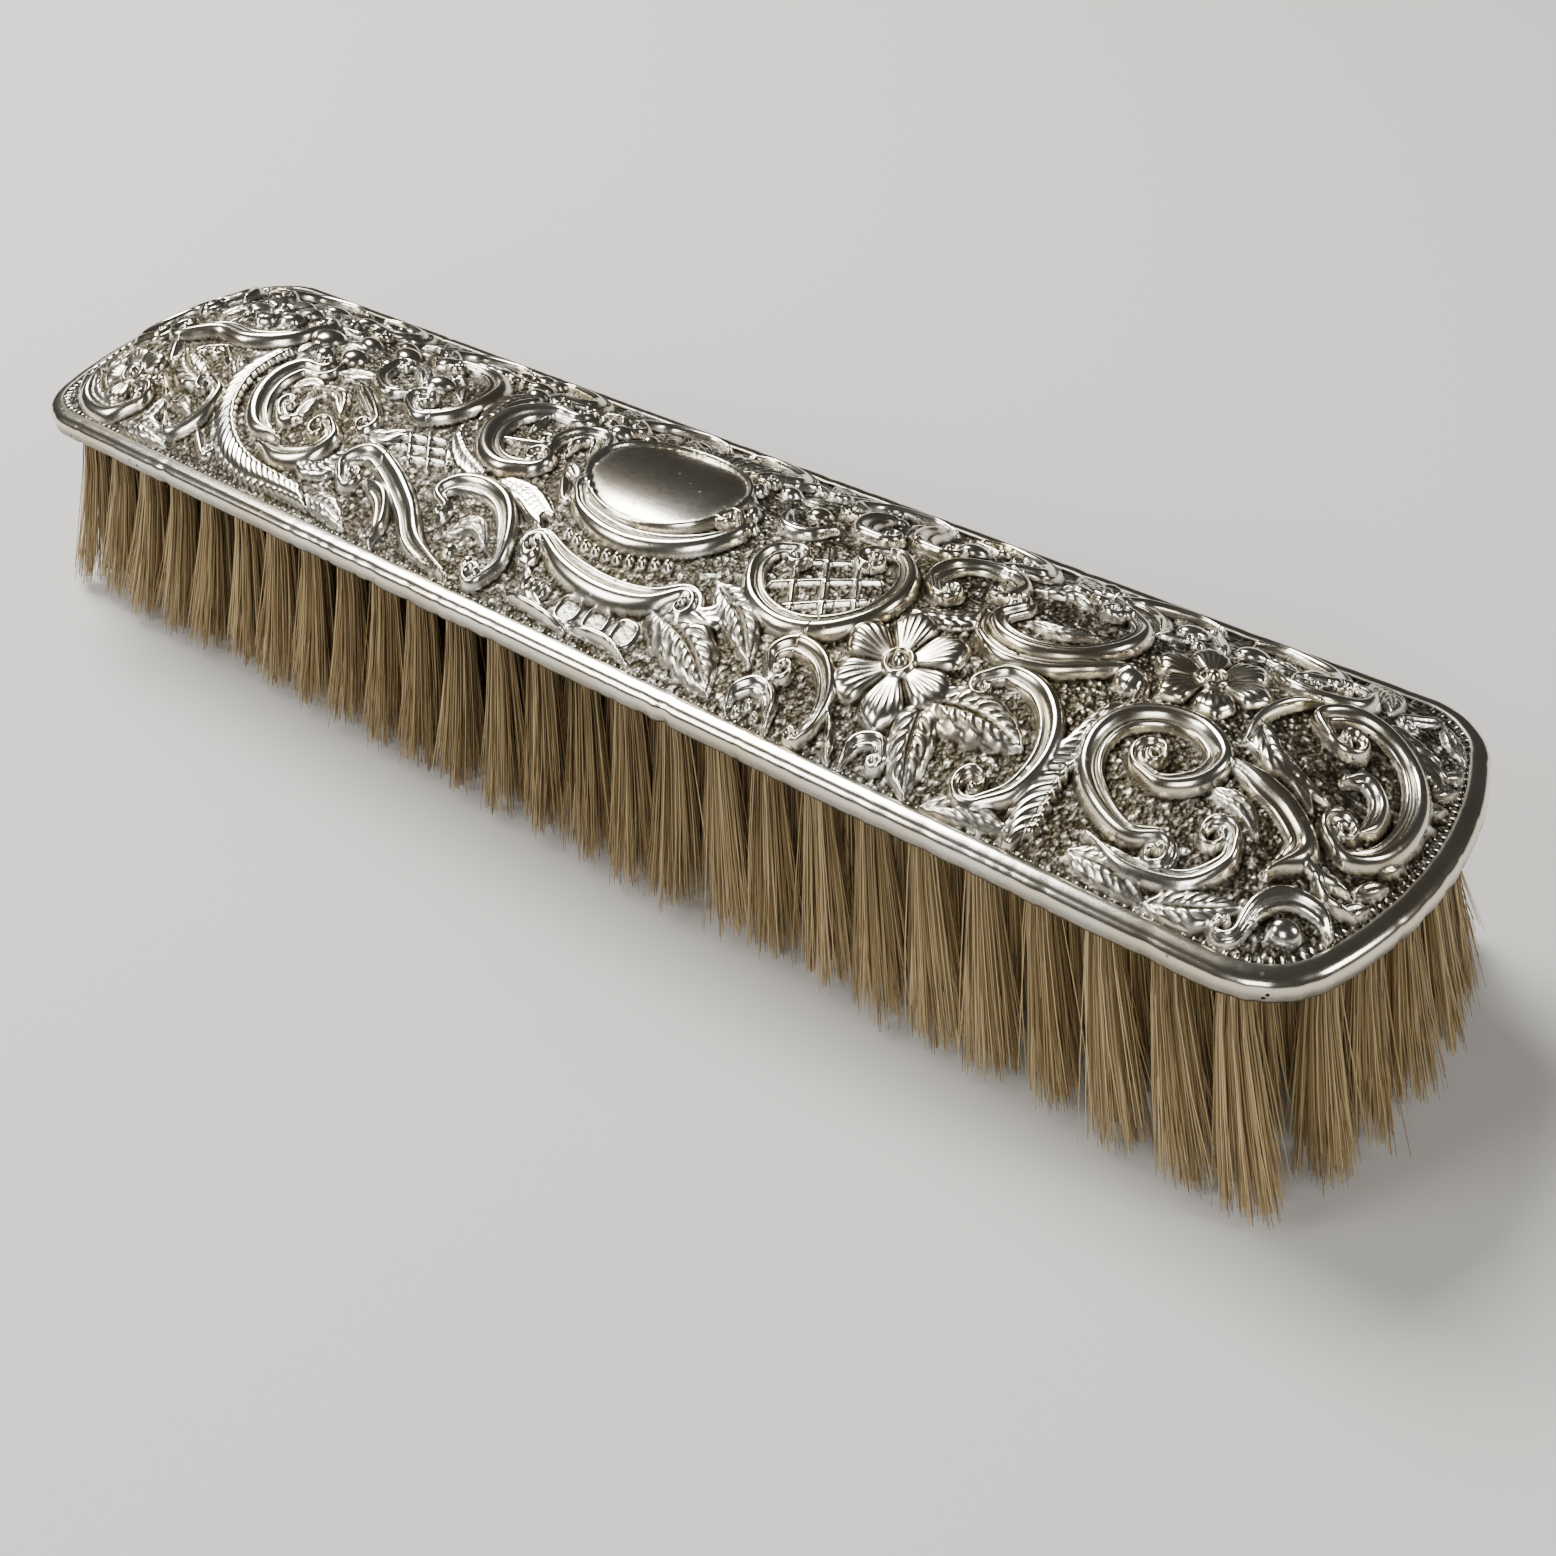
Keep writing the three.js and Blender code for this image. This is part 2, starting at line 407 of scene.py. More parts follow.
class Profile(Enum):
    """Cross-sections that a chased stroke may have."""

    ROUND = "round"
    CHANNEL = "channel"
    RIDGE = "ridge"
    LEAF = "leaf"

    def across(self, u: np.ndarray) -> np.ndarray:
        """Relative height across a stroke, where u runs from -1 to 1 and +1 is the outer side."""
        away = np.abs(u)
        if self is Profile.ROUND:
            return np.clip(1 - away**2.2, 0, 1) ** 0.75
        if self is Profile.RIDGE:
            return np.clip(1 - away, 0, 1) ** 0.8
        if self is Profile.LEAF:
            halves = np.clip(1 - np.abs(2 * away - 1) ** 4, 0, 1) ** 0.8
            return 0.4 * np.clip(1 - away**2, 0, 1) ** 0.6 + 0.6 * halves
        body = np.clip(1 - ((u - 0.27) / 0.73) ** 2, 0, 1) ** 0.55
        lip = 0.66 * np.clip(1 - ((u + 0.68) / 0.32) ** 2, 0, 1) ** 0.6
        return np.maximum(body, lip)


@dataclass(frozen=True)
class Curl:
    """A volute at the end of a scroll: its radius, its turns, and +1 to turn left or -1 right."""

    radius: float
    side: int
    turns: float = 1.05


class ReliefMap:
    """A height map of the chasing, over the plan of the back."""

    def __init__(self, plan: Plan, cell: float = 0.1) -> None:
        """Starts with a flat ground.

        Args:
            plan: The stock's plan.
            cell: Cell size in millimetres.
        """
        self.plan = plan
        self.cell = cell
        self.x = np.arange(-plan.length / 2, plan.length / 2 + cell, cell)
        self.y = np.arange(-plan.width / 2, plan.width / 2 + cell, cell)
        self.height = np.zeros((len(self.x), len(self.y)))
        # How dark each cell is painted: oxide in engraved lines and creases, and painted shade for depth
        # that is not cut.
        self.lines = np.zeros_like(self.height)

    def window(self, low: np.ndarray, high: np.ndarray) -> Window:
        """The part of the map between two corners, as a pair of slices."""
        first = np.floor((np.asarray(low) - [self.x[0], self.y[0]]) / self.cell).astype(int)
        last = np.ceil((np.asarray(high) - [self.x[0], self.y[0]]) / self.cell).astype(int) + 1
        first = np.clip(first, 0, None)
        last = np.clip(last, 0, None)
        return slice(first[0], last[0]), slice(first[1], last[1])

    def places(self, part: Window) -> tuple[np.ndarray, np.ndarray]:
        """The x and y of the cells of a window, ready to combine."""
        return self.x[part[0]][:, None], self.y[part[1]][None, :]

    def around(self, x: float, y: float, reach: float) -> tuple[Window, np.ndarray, np.ndarray]:
        """The window within reach of a place, and its cells' offsets from the place."""
        middle = np.array([x, y])
        part = self.window(middle - reach, middle + reach)
        xs, ys = self.places(part)
        return part, xs - x, ys - y

    def raise_to(self, part: Window, values: np.ndarray, lines: np.ndarray | None = None) -> None:
        """Lifts the map to new heights where they are higher than what is there.

        Args:
            part: The window to work in.
            values: New heights, one for each cell of the window.
            lines: How dark engraved lines are painted there, from 0 to 1, for the oxide they hold and as
                painted shade for depth they are not cut to.
        """
        current = self.height[part]
        higher = values > current
        self.lines[part][higher] = 0 if lines is None else lines[higher]
        np.maximum(current, values, out=current)

    def stroke(
        self,
        line: np.ndarray,
        half: np.ndarray,
        high: np.ndarray,
        section: "Profile",
        outer: int = 1,
        cut: "Cut | None" = None,
    ) -> None:
        """Chases one stroke along a line.

        Args:
            line: Samples along the stroke's middle.
            half: Half of the stroke's width at each sample.
            high: Height at each sample.
            section: Its cross-section.
            outer: +1 where the outer lip is on the left of the line, -1 on the right.
            cut: Veins or flutes cut into it.
        """
        tangent = np.gradient(line, axis=0)
        tangent /= np.maximum(np.hypot(*tangent.T), 1e-9)[:, None]
        gap = float(np.hypot(*(line[1] - line[0])))
        margin = half.max() + self.cell
        part = self.window(line.min(axis=0) - margin, line.max(axis=0) + margin)
        xs, ys = self.places(part)
        if not xs.size or not ys.size:
            return
        best = np.full((xs.size, ys.size), 1.0)
        signed = np.zeros_like(best)
        nearest = np.full(best.shape, -1)
        ahead = np.zeros_like(best)
        x0, y0 = xs[0, 0], ys[0, 0]
        for k, ((px, py), (tx, ty), w) in enumerate(zip(line, tangent, half)):
            i0 = max(int((px - w - x0) / self.cell), 0)
            i1 = int((px + w - x0) / self.cell) + 2
            j0 = max(int((py - w - y0) / self.cell), 0)
            j1 = int((py + w - y0) / self.cell) + 2
            dx = xs[i0:i1] - px
            dy = ys[:, j0:j1] - py
            side = dy * tx - dx * ty
            past = dx * tx + dy * ty
            over = np.maximum(np.abs(past) - gap, 0)
            ratio = np.sqrt(side * side + over * over) / w
            spot = best[i0:i1, j0:j1]
            closer = ratio < spot
            spot[closer] = ratio[closer]
            signed[i0:i1, j0:j1][closer] = np.copysign(ratio, side)[closer]
            nearest[i0:i1, j0:j1][closer] = k
            ahead[i0:i1, j0:j1][closer] = np.clip(past, -gap, gap)[closer]
        inside = nearest >= 0
        k = nearest[inside]
        u = signed[inside] * outer
        values = np.zeros_like(best)
        lines = np.zeros_like(best)
        values[inside] = high[k] * section.across(u)
        if cut is not None:
            furrow = cut.furrow((k + ahead[inside] / gap) / (len(line) - 1), u)
            values[inside] *= 1 - cut.depth * furrow
            # The furrow is painted dark as well as cut: oxide in it, and painted shade for more depth than
            # the cut has.
            lines[inside] = furrow
        self.raise_to(part, values, lines)


@dataclass(frozen=True)
class Cut:
    """Slanting veins engraved in a stroke, and the crease along each of its edges."""

    count: float
    slant: float = 2.0
    depth: float = 0.17
    edge: float = 0.0

    def furrow(self, s: np.ndarray, u: np.ndarray) -> np.ndarray:
        """How deep in a vein or an edge crease a place is, from 0 to 1.

        Args:
            s: Place along the stroke, from 0 to 1.
            u: Place across the stroke, from -1 to 1.

        Returns:
            The depth at each place.
        """
        away = np.abs(u)
        vein = np.zeros_like(away)
        if self.count:
            phase = self.count * s - self.slant * away
            vein = np.abs(np.cos(math.pi * phase)) ** 4 * smooth_step(away, 0.05, 0.25)
            vein = np.maximum(vein, 0.8 * (1 - smooth_step(away, 0.02, 0.14)))
        return np.maximum(vein, self.edge * smooth_step(away, 0.62, 0.95))


@dataclass(frozen=True)
class Scroll:
    """A C or S scroll: a channelled band through a few points, with volutes at its ends."""

    points: tuple[Point, ...]
    width: float = 2.0
    start: Curl | None = None
    end: Curl | None = None
    height: float = 1.0
    section: Profile = Profile.CHANNEL
    outer: int = 0
    tip: float = 0.35
    fullness: float = 1.16

    def wind(self, tail: np.ndarray, curl: Curl) -> np.ndarray:
        """Carries a line's end on into a volute that closes as it turns."""
        way = tail[-1] - tail[-3]
        way /= np.hypot(*way)
        centre = tail[-1] + curl.side * curl.radius * np.array([-way[1], way[0]])
        start = math.atan2(*(tail[-1] - centre)[::-1])
        full = 2 * math.pi * curl.turns
        theta = np.linspace(0, full, int(full * curl.radius / STEP) + 8)[1:]
        r = curl.radius * (1 - 0.74 * theta / full)
        angle = start + curl.side * theta
        return centre + np.column_stack([r * np.cos(angle), r * np.sin(angle)])

    def chase(self, relief: ReliefMap) -> None:
        """Chases the scroll into the map."""
        body = spline(self.points, STEP)
        lines = [body]
        before = after = 0
        if self.start is not None:
            head = self.wind(body[::-1], self.start)[::-1]
            lines.insert(0, head)
            before = len(head)
        if self.end is not None:
            tail = self.wind(body, self.end)
            lines.append(tail)
            after = len(tail)
        line = np.vstack(lines)
        place = np.arange(len(line), dtype=float)
        s = np.clip((place - before) / max(len(body) - 1, 1), 0, 1)
        half = self.width * self.fullness / 2 * (0.78 + 0.22 * np.sin(math.pi * s))
        ease = 0.3 * len(body)
        if self.start is not None:
            half *= 0.42 + 0.58 * smooth_step(place, 0.15 * before, before + ease)
        else:
            half *= self.tip + (1 - self.tip) * smooth_step(place, 0, ease)
        turn = len(line) - 1 - place
        if self.end is not None:
            half *= 0.42 + 0.58 * smooth_step(turn, 0.15 * after, after + ease)
        else:
            half *= self.tip + (1 - self.tip) * smooth_step(turn, 0, ease)
        outer = self.outer
        if outer == 0:
            curl = self.end or self.start
            outer = 1 if curl is None else -curl.side
            if self.end is None and self.start is not None:
                outer = -outer
        high = self.height * (0.82 + 0.18 * np.clip(half / (self.width / 2), 0, 1))
        relief.stroke(line, half, high, self.section, outer)
        for curl, (x, y) in ((self.start, line[0]), (self.end, line[-1])):
            if curl is not None:
                Bead(x, y, 0.3 * curl.radius, self.height * 1.05).chase(relief)


@dataclass(frozen=True)
class Leaf:
    """A leaf or feather with a midrib and slanting veins."""

    start: Point
    tip: Point
    width: float
    bend: float = 0.0
    veins: float = 7.0
    height: float = 0.85
    lobes: float = 0.04

    def chase(self, relief: ReliefMap) -> None:
        """Chases the leaf into the map."""
        a, b = np.array(self.start), np.array(self.tip)
        way = b - a
        middle = (a + b) / 2 + self.bend * np.array([-way[1], way[0]])
        line = spline([tuple(a), tuple(middle), tuple(b)], STEP)
        s = np.linspace(0, 1, len(line))
        edge = np.sin(math.pi * np.clip(s, 0.02, 0.985) ** 0.72) ** 0.75
        edge *= 1 + self.lobes * np.cos(1.4 * math.pi * self.veins * s)
        high = self.height * (0.55 + 0.45 * np.sin(math.pi * np.clip(s, 0.05, 0.9)))
        cut = Cut(1.3 * self.veins)
        half = np.maximum(self.width / 2 * edge, 0.12)
        relief.stroke(line, half, high, Profile.LEAF, 1, cut)


@dataclass(frozen=True)
class Frond:
    """An acanthus frond: curved blades that spring from one or both sides of a stem."""

    stem: tuple[Point, ...]
    blades: int
    length: float
    sides: tuple[int, ...] = (1, -1)
    angle: float = 0.8
    height: float = 0.75

    def chase(self, relief: ReliefMap) -> None:
        """Chases the stem and its blades into the map."""
        line = spline(self.stem, STEP)
        total = len(line)
        blades = round(1.4 * self.blades)
        pitch = total * relief.cell / blades
        for side in self.sides:
            for i in range(blades):
                s = (i + 0.5) / blades
                k = min(int(s * (total - 1)), total - 2)
                way = line[k + 1] - line[k]
                way /= np.hypot(*way)
                turn = side * self.angle
                c, n = math.cos(turn), math.sin(turn)
                out = np.array([way[0] * c - way[1] * n, way[0] * n + way[1] * c])
                reach = 1.3 * self.length * (0.55 + 0.45 * math.sin(math.pi * (0.12 + 0.8 * s)))
                mid = line[k] + out * reach * 0.5 + way * reach * 0.06
                end = line[k] + out * reach * 0.8 + way * reach * 0.45
                blade = spline([tuple(line[k]), tuple(mid), tuple(end)], STEP)
                t = np.linspace(0, 1, len(blade))
                half = 0.64 * pitch * (0.5 + 0.5 * np.sin(math.pi * (0.15 + 0.6 * t)))
                half *= 1 - 0.6 * smooth_step(t, 0.6, 1)
                high = self.height * (0.85 + 0.15 * np.sin(math.pi * t))
                # The crease along each blade's edges is painted dark: oxide, and painted shade between the
                # blades.
                crease = Cut(0, edge=0.8)
                relief.stroke(blade, np.maximum(half, 0.13), high, Profile.ROUND, cut=crease)
        s = np.linspace(0, 1, total)
        relief.stroke(
            line,
            0.26 * (1 - 0.6 * s) + 0.05,
            np.full(total, self.height * 1.05),
            Profile.ROUND,
        )


@dataclass(frozen=True)
class Bead:
    """A round or oval boss."""

    x: float
    y: float
    radius: float
    height: float = 0.9
    stretch: float = 1.0
    turn: float = 0.0

    def chase(self, relief: ReliefMap) -> None:
        """Chases the bead into the map."""
        part, dx, dy = relief.around(self.x, self.y, self.radius * max(self.stretch, 1))
        along, across = turned(dx, dy, self.turn)
        along = along / (self.radius * self.stretch)
        across = across / self.radius
        inside = np.clip(1 - along**2 - across**2, 0, 1)
        relief.raise_to(part, self.height * inside**0.5)


@dataclass(frozen=True)
class Punch:
    """A blank assay punch: a sunk shield with a burr thrown up round it."""

    x: float
    y: float
    size: float = 1.25
    height: float = 0.5

    def chase(self, relief: ReliefMap) -> None:
        """Strikes the punch into the map."""
        part, dx, dy = relief.around(self.x, self.y, 1.5 * self.size)
        away = (np.abs(dx) ** 3 + np.abs(dy) ** 3) ** (1 / 3) / self.size
        burr = self.height * np.exp(-(((away - 1) / 0.15) ** 2))
        relief.raise_to(part, np.where(away < 1.4, np.maximum(burr, 0.3 * self.height), 0))


@dataclass(frozen=True)
class BeadRow:
    """Beads that follow a line."""

    points: tuple[Point, ...]
    count: int
    radius: float
    height: float = 0.8

    def chase(self, relief: ReliefMap) -> None:
        """Chases the beads into the map."""
        line = spline(self.points, STEP)
        for i in range(self.count):
            x, y = line[int(i / max(self.count - 1, 1) * (len(line) - 1))]
            Bead(x, y, self.radius, self.height).chase(relief)


@dataclass(frozen=True)
class Flower:
    """An open flower with fluted petals round a ringed boss."""

    x: float
    y: float
    radius: float
    petals: int = 6
    turn: float = 0.0
    height: float = 1.05

    def chase(self, relief: ReliefMap) -> None:
        """Chases the petals, then the ring and boss."""
        part, dx, dy = relief.around(self.x, self.y, self.radius * 1.1)
        r = np.hypot(dx, dy) / self.radius
        lap = (np.arctan2(dy, dx) - self.turn) * self.petals / (2 * math.pi)
        u = 2 * (lap - np.floor(lap)) - 1
        reach = 0.62 + 0.31 * np.clip(1 - np.abs(u) ** 2.2, 0, 1) ** 0.6
        reach += 0.07 * np.exp(-((u / 0.28) ** 2))
        rim = np.clip(1 - (r / reach) ** 7, 0, 1) ** 0.6
        side = np.clip(1 - np.abs(u) ** 6, 0, 1) ** 0.6
        lines = np.abs(np.cos(math.pi * 3.5 * u)) ** 6 * smooth_step(r, 0.2, 0.4)
        lines *= 1 - smooth_step(r, 0.72, 0.9)
        cup = 0.42 + 0.58 * smooth_step(r, 0.1, 0.95)
        petals = self.height * rim * side * cup * (1 - 0.12 * lines)
        # Flutes and petal edges are painted dark: oxide in the creases, and painted shade for flutes that
        # are barely cut.
        creases = np.maximum(0.8 * lines, smooth_step(np.abs(u), 0.9, 0.99))
        relief.raise_to(part, petals, creases)
        ring = np.exp(-(((r * self.radius - 1.25) / 0.3) ** 2)) * 0.8 * self.height
        relief.raise_to(part, np.where(ring > 0.1, ring, 0))
        Bead(self.x, self.y, 0.85, self.height * 1.05).chase(relief)


@dataclass(frozen=True)
class Lattice:
    """Crossed bars inside a round field."""

    x: float
    y: float
    radius: float
    pitch: float = 2.6
    turn: float = 0.6
    height: float = 0.55
    flatten: float = 1.0
    bar: float = 0.32

    def chase(self, relief: ReliefMap) -> None:
        """Chases the bars into the map."""
        part, dx, dy = relief.around(self.x, self.y, self.radius)
        dy = dy / self.flatten
        bars = np.zeros(np.broadcast(dx, dy).shape)
        for offset in turned(dx, dy, self.turn):
            value = offset / self.pitch
            off = np.abs(value - np.round(value)) * self.pitch / self.bar
            bars = np.maximum(bars, np.clip(1 - off**2, 0, 1) ** 0.5)
        field_edge = smooth_step(np.hypot(dx, dy), self.radius, self.radius - 0.4)
        relief.raise_to(part, self.height * bars * field_edge)


@dataclass(frozen=True)
class Cartouche:
    """The polished oval that would carry a monogram, left blank, in a raised frame."""

    x: float
    y: float
    long: float
    short: float
    turn: float = 0.0
    height: float = 0.75
    frame_width: float = 0.9

    def chase(self, relief: ReliefMap) -> None:
        """Chases the oval and the moulding round it."""
        reach = max(self.long, self.short) + 2 * self.frame_width
        part, dx, dy = relief.around(self.x, self.y, reach)
        along, across = turned(dx, dy, self.turn)
        r = np.hypot(along / self.long, across / self.short)
        past = (r - 1) * (self.long + self.short) / 2
        moulding = np.clip(1 - ((past - self.frame_width / 2) / (self.frame_width / 2)) ** 2, 0, 1)
        current = relief.height[part]
        flat = past < 0
        current[flat] = (self.height * (0.8 + 0.25 * np.clip(1 - r**2, 0, 1)))[flat]
        relief.lines[part][flat] = 0.0
        relief.raise_to(part, (self.height + 0.25) * moulding**0.5)


def fill_gaps(relief: ReliefMap, seed: int = 11, clear: Point = (12.0, 9.0)) -> None:
    """Sets small sprigs and beads in the gaps that the main ornament leaves.

    Args:
        relief: The map, with its main ornament.
        seed: Seed of the random places.
        clear: Towards +X of this and below its y the matted ground stays open.
    """
    rng = np.random.default_rng(seed)
    plan = relief.plan
    for reach in (2.5, 1.9, 1.5):
        for _ in range(1000):
            x = rng.uniform(-plan.length / 2 + 3, plan.length / 2 - 3)
            y = rng.uniform(-plan.width / 2 + 3, plan.width / 2 - 3)
            turn = rng.uniform(0, 2 * math.pi)
            kind = rng.random()
            if float(plan.climb(np.array(x), np.array(y))) < reach / 14:
                continue
            if x > clear[0] and y < clear[1]:
                continue
            near = relief.height[relief.window(np.array([x, y]) - reach, np.array([x, y]) + reach)]
            if (near > 0.15).mean() > 0.22:
                continue
            way = np.array([math.cos(turn), math.sin(turn)]) * reach
            foot, tip = (x - way[0], y - way[1]), (x + way[0], y + way[1])
            if kind < 0.45:
                Leaf(foot, tip, reach * 1.15, rng.uniform(-0.2, 0.2), 4, 0.6).chase(relief)
            elif kind < 0.8:
                Scroll((foot, (x, y), tip), 0.5 * reach, None, Curl(0.45 * reach, 1), 0.6).chase(relief)
            else:
                Bead(x, y, reach * 0.42, 0.6).chase(relief)


@dataclass
class Chasing:
    """The whole composition of ornament on the back, in plan millimetres."""

    boldness: float = 1.3

    def near_end(self) -> list:
        """The end nearest the viewer: C scrolls, a spiral and a flower."""
        return [
            Scroll(
                ((72.3, 3.6), (70.6, 5.4), (72.3, 7.7), (75.2, 8.2), (78.2, 6.7), (80.2, 3.5),
                 (80.8, -0.2), (80.2, -3.7), (78.4, -5.9), (76.6, -5.4)),
                2.1, Curl(1.7, 1), Curl(1.5, -1), 1.1,
            ),
            Scroll(((75.0, 0.4), (76.3, 1.9), (78.0, 0.9), (78.6, -1.4), (78.0, -3.6)), 1.5),
            Leaf((67.0, 1.2), (75.0, -2.6), 2.6, -0.18, 6, 0.9),
            Leaf((67.4, -1.4), (74.6, -4.4), 2.2, 0.1, 5, 0.85),
            Scroll(
                ((67.2, -4.6), (70.0, -5.0), (73.2, -5.9), (75.6, -8.0), (74.4, -11.6)),
                2.4, None, None, 1.05, outer=1,
            ),
            Scroll(((75.4, -8.4), (77.2, -9.0), (79.8, -8.6)), 1.1, section=Profile.ROUND),
            Scroll(((77.0, -9.0), (79.0, -10.4), (81.0, -10.0)), 0.9, section=Profile.ROUND),
            Scroll(
                ((74.9, -16.9), (75.1, -14.2), (76.8, -12.1), (79.2, -11.7), (80.9, -13.2)),
                1.5, Curl(1.2, -1, 0.8), None, 0.95, outer=1,
            ),
            Bead(77.7, -14.6, 1.0, 0.8, 1.3, 0.5),
            Scroll(
                ((65.7, -12.9), (63.4, -13.6), (60.4, -12.5), (57.9, -10.4), (57.0, -7.4),
                 (58.0, -4.5), (60.8, -2.7), (64.0, -2.7), (66.5, -4.6), (66.2, -7.2),
                 (63.8, -8.9), (61.4, -8.5)),
                2.3, Curl(1.5, -1, 1.1), Curl(1.6, -1, 1.1), 1.15, outer=1,
            ),
            Scroll(
                ((60.6, -14.9), (64.8, -15.9), (69.2, -15.2), (71.4, -12.8), (71.2, -10.9)),
                1.7, None, Curl(1.5, 1, 1.1), 1.05, outer=-1,
            ),
            Leaf((60.2, -16.6), (67.4, -17.8), 2.9, 0.06, 6, 0.75, 0.06),
            Leaf((68.0, -17.6), (74.2, -15.0), 3.2, -0.06, 6, 0.8, 0.06),
            Leaf((67.6, -7.4), (72.4, -9.4), 1.9, 0.12, 5, 0.7),
            Flower(61.2, 4.3, 5.5, 6, 0.5, 1.15),
            Scroll(
                ((64.2, 9.4), (66.4, 8.3), (69.4, 8.3), (71.8, 9.8), (72.0, 12.2), (70.4, 13.2)),
                1.8, None, Curl(1.4, 1, 1.0), 1.05,
            ),
            Bead(67.2, 12.6, 1.7, 1.0),
            Scroll(((67.2, -1.8), (66.9, 1.4), (67.6, 4.4), (69.6, 7.2)), 1.0, section=Profile.ROUND),
            Frond(((74.4, 9.6), (77.4, 9.2), (79.4, 7.4)), 4, 1.7, height=0.65),
            Frond(((57.5, -2.8), (57.0, -8.0), (56.2, -12.0), (56.6, -16.6)), 11, 3.0, (-1,), 0.95, 0.8),
            *[
                Leaf((80.6 - abs(y) * 0.05, y - 1.1), (82.0 - abs(y) * 0.05, y + 1.3), 1.3, 0, 3, 0.6)
                for y in (-9.4, -6.6, -3.8, -1.0, 1.8, 4.6, 7.4, 10.2)
            ],
            Leaf((80.6, 12.8), (77.6, 15.4), 1.8, 0.1, 4, 0.7),
        ]

    def flower_bed(self) -> list:
        """Between the middle and the near end: the large flower, its leaves and the C scrolls."""
        return [
            Flower(37.5, -8.2, 6.5, 6, 0.25, 1.2),
            Leaf((42.0, -10.2), (51.6, -10.7), 5.2, 0.06, 8, 1.0, 0.06),
            Leaf((41.8, -11.0), (44.8, -18.0), 4.4, -0.05, 6, 0.95, 0.06),
            Scroll(
                ((45.0, -6.6), (47.0, -4.9), (50.2, -5.4), (52.8, -7.8), (53.9, -11.0),
                 (53.2, -14.2), (51.0, -16.4)),
                2.1, Curl(1.1, 1, 0.9), Curl(1.8, -1, 1.05), 1.1, outer=1,
            ),
            Scroll(
                ((43.0, 3.7), (41.9, 1.2), (43.6, -0.6), (47.0, -1.0), (50.6, 0.6), (52.9, 4.0),
                 (52.8, 7.6), (50.4, 10.2)),
                2.1, Curl(1.4, 1, 1.0), Curl(1.5, 1, 1.0), 1.1, outer=-1,
            ),
            Scroll(
                ((40.6, 1.2), (41.8, -1.6), (45.2, -3.2), (49.2, -2.5), (52.2, -0.6), (54.8, 1.0),
                 (57.0, -0.2), (57.6, -2.6)),
                1.7, None, None, 1.0, Profile.CHANNEL, -1, 0.55,
            ),
            Bead(55.9, -0.2, 1.5, 1.05, 1.2, -0.6),
            Leaf((44.4, 2.6), (50.4, 4.0), 1.8, -0.12, 5, 0.8),
            Leaf((41.6, 8.4), (47.2, 8.8), 2.4, 0.2, 5, 0.9),
            Scroll(((46.6, 13.6), (49.6, 13.9), (52.2, 12.4), (53.6, 9.4)), 1.6, Curl(1.2, -1), None, 0.95),
            Scroll(
                ((34.9, 1.3), (33.5, 3.4), (33.8, 6.4), (35.8, 8.3), (38.6, 8.7), (40.6, 7.2),
                 (40.6, 4.6)),
                2.0, Curl(1.3, 1, 1.1), Curl(1.0, -1, 0.8), 1.1, outer=1,
            ),
            Lattice(25.4, -2.8, 5.6, 3.0, 0.55),
            Scroll(
                ((27.0, 3.6), (29.2, 4.2), (31.6, 1.8), (32.6, -1.6), (31.6, -5.2), (28.6, -8.0),
                 (24.6, -8.9), (20.8, -7.6), (18.6, -4.6), (18.7, -1.8), (20.4, -0.6)),
                2.4, Curl(1.6, 1, 1.05), Curl(1.3, -1, 0.95), 1.15, outer=1,
            ),
            Scroll(
                ((27.0, -13.4), (26.3, -11.8), (28.0, -10.3), (31.0, -10.9), (33.2, -13.2),
                 (33.8, -16.2), (33.2, -17.9)),
                1.7, Curl(1.1, 1, 1.0), Curl(0.7, -1, 0.8), 1.05, outer=1,
            ),
            Scroll(((34.3, -14.4), (35.6, -16.0), (36.6, -18.0)), 0.9, section=Profile.RIDGE),
            Scroll(((25.3, -18.0), (25.1, -16.2), (26.6, -14.9), (28.6, -15.6), (29.8, -18.0)), 1.3),
            BeadRow(((26.2, -17.6), (27.0, -16.6), (28.2, -17.4)), 3, 0.42, 0.7),
            Scroll(((38.2, -18.0), (38.4, -15.9), (40.2, -15.1), (41.4, -16.4)), 1.2, None, Curl(0.7, -1)),
            Leaf((47.0, -18.2), (54.8, -17.2), 2.4, 0.08, 6, 0.7, 0.06),
            Scroll(((15.2, 5.2), (16.6, 2.7), (19.2, 2.6), (21.0, 4.8)), 1.7, None, None, 0.95, outer=-1),
            Bead(17.3, 7.2, 1.3, 0.7),
            Scroll(
                ((22.6, 12.6), (21.9, 9.4), (22.9, 6.8), (25.3, 6.2)),
                2.2, None, Curl(1.2, 1, 1.0), 1.1,
            ),
            Scroll(
                ((27.2, 15.4), (27.2, 11.4), (28.6, 8.6), (31.0, 8.0)),
                2.2, None, Curl(1.3, 1, 1.0), 1.1,
            ),
            Leaf((24.6, 14.2), (26.4, 8.6), 2.2, 0.1, 5, 0.85),
            Frond(((35.0, -2.2), (38.0, -1.4), (41.0, 0.4)), 4, 1.4, height=0.55),
        ]

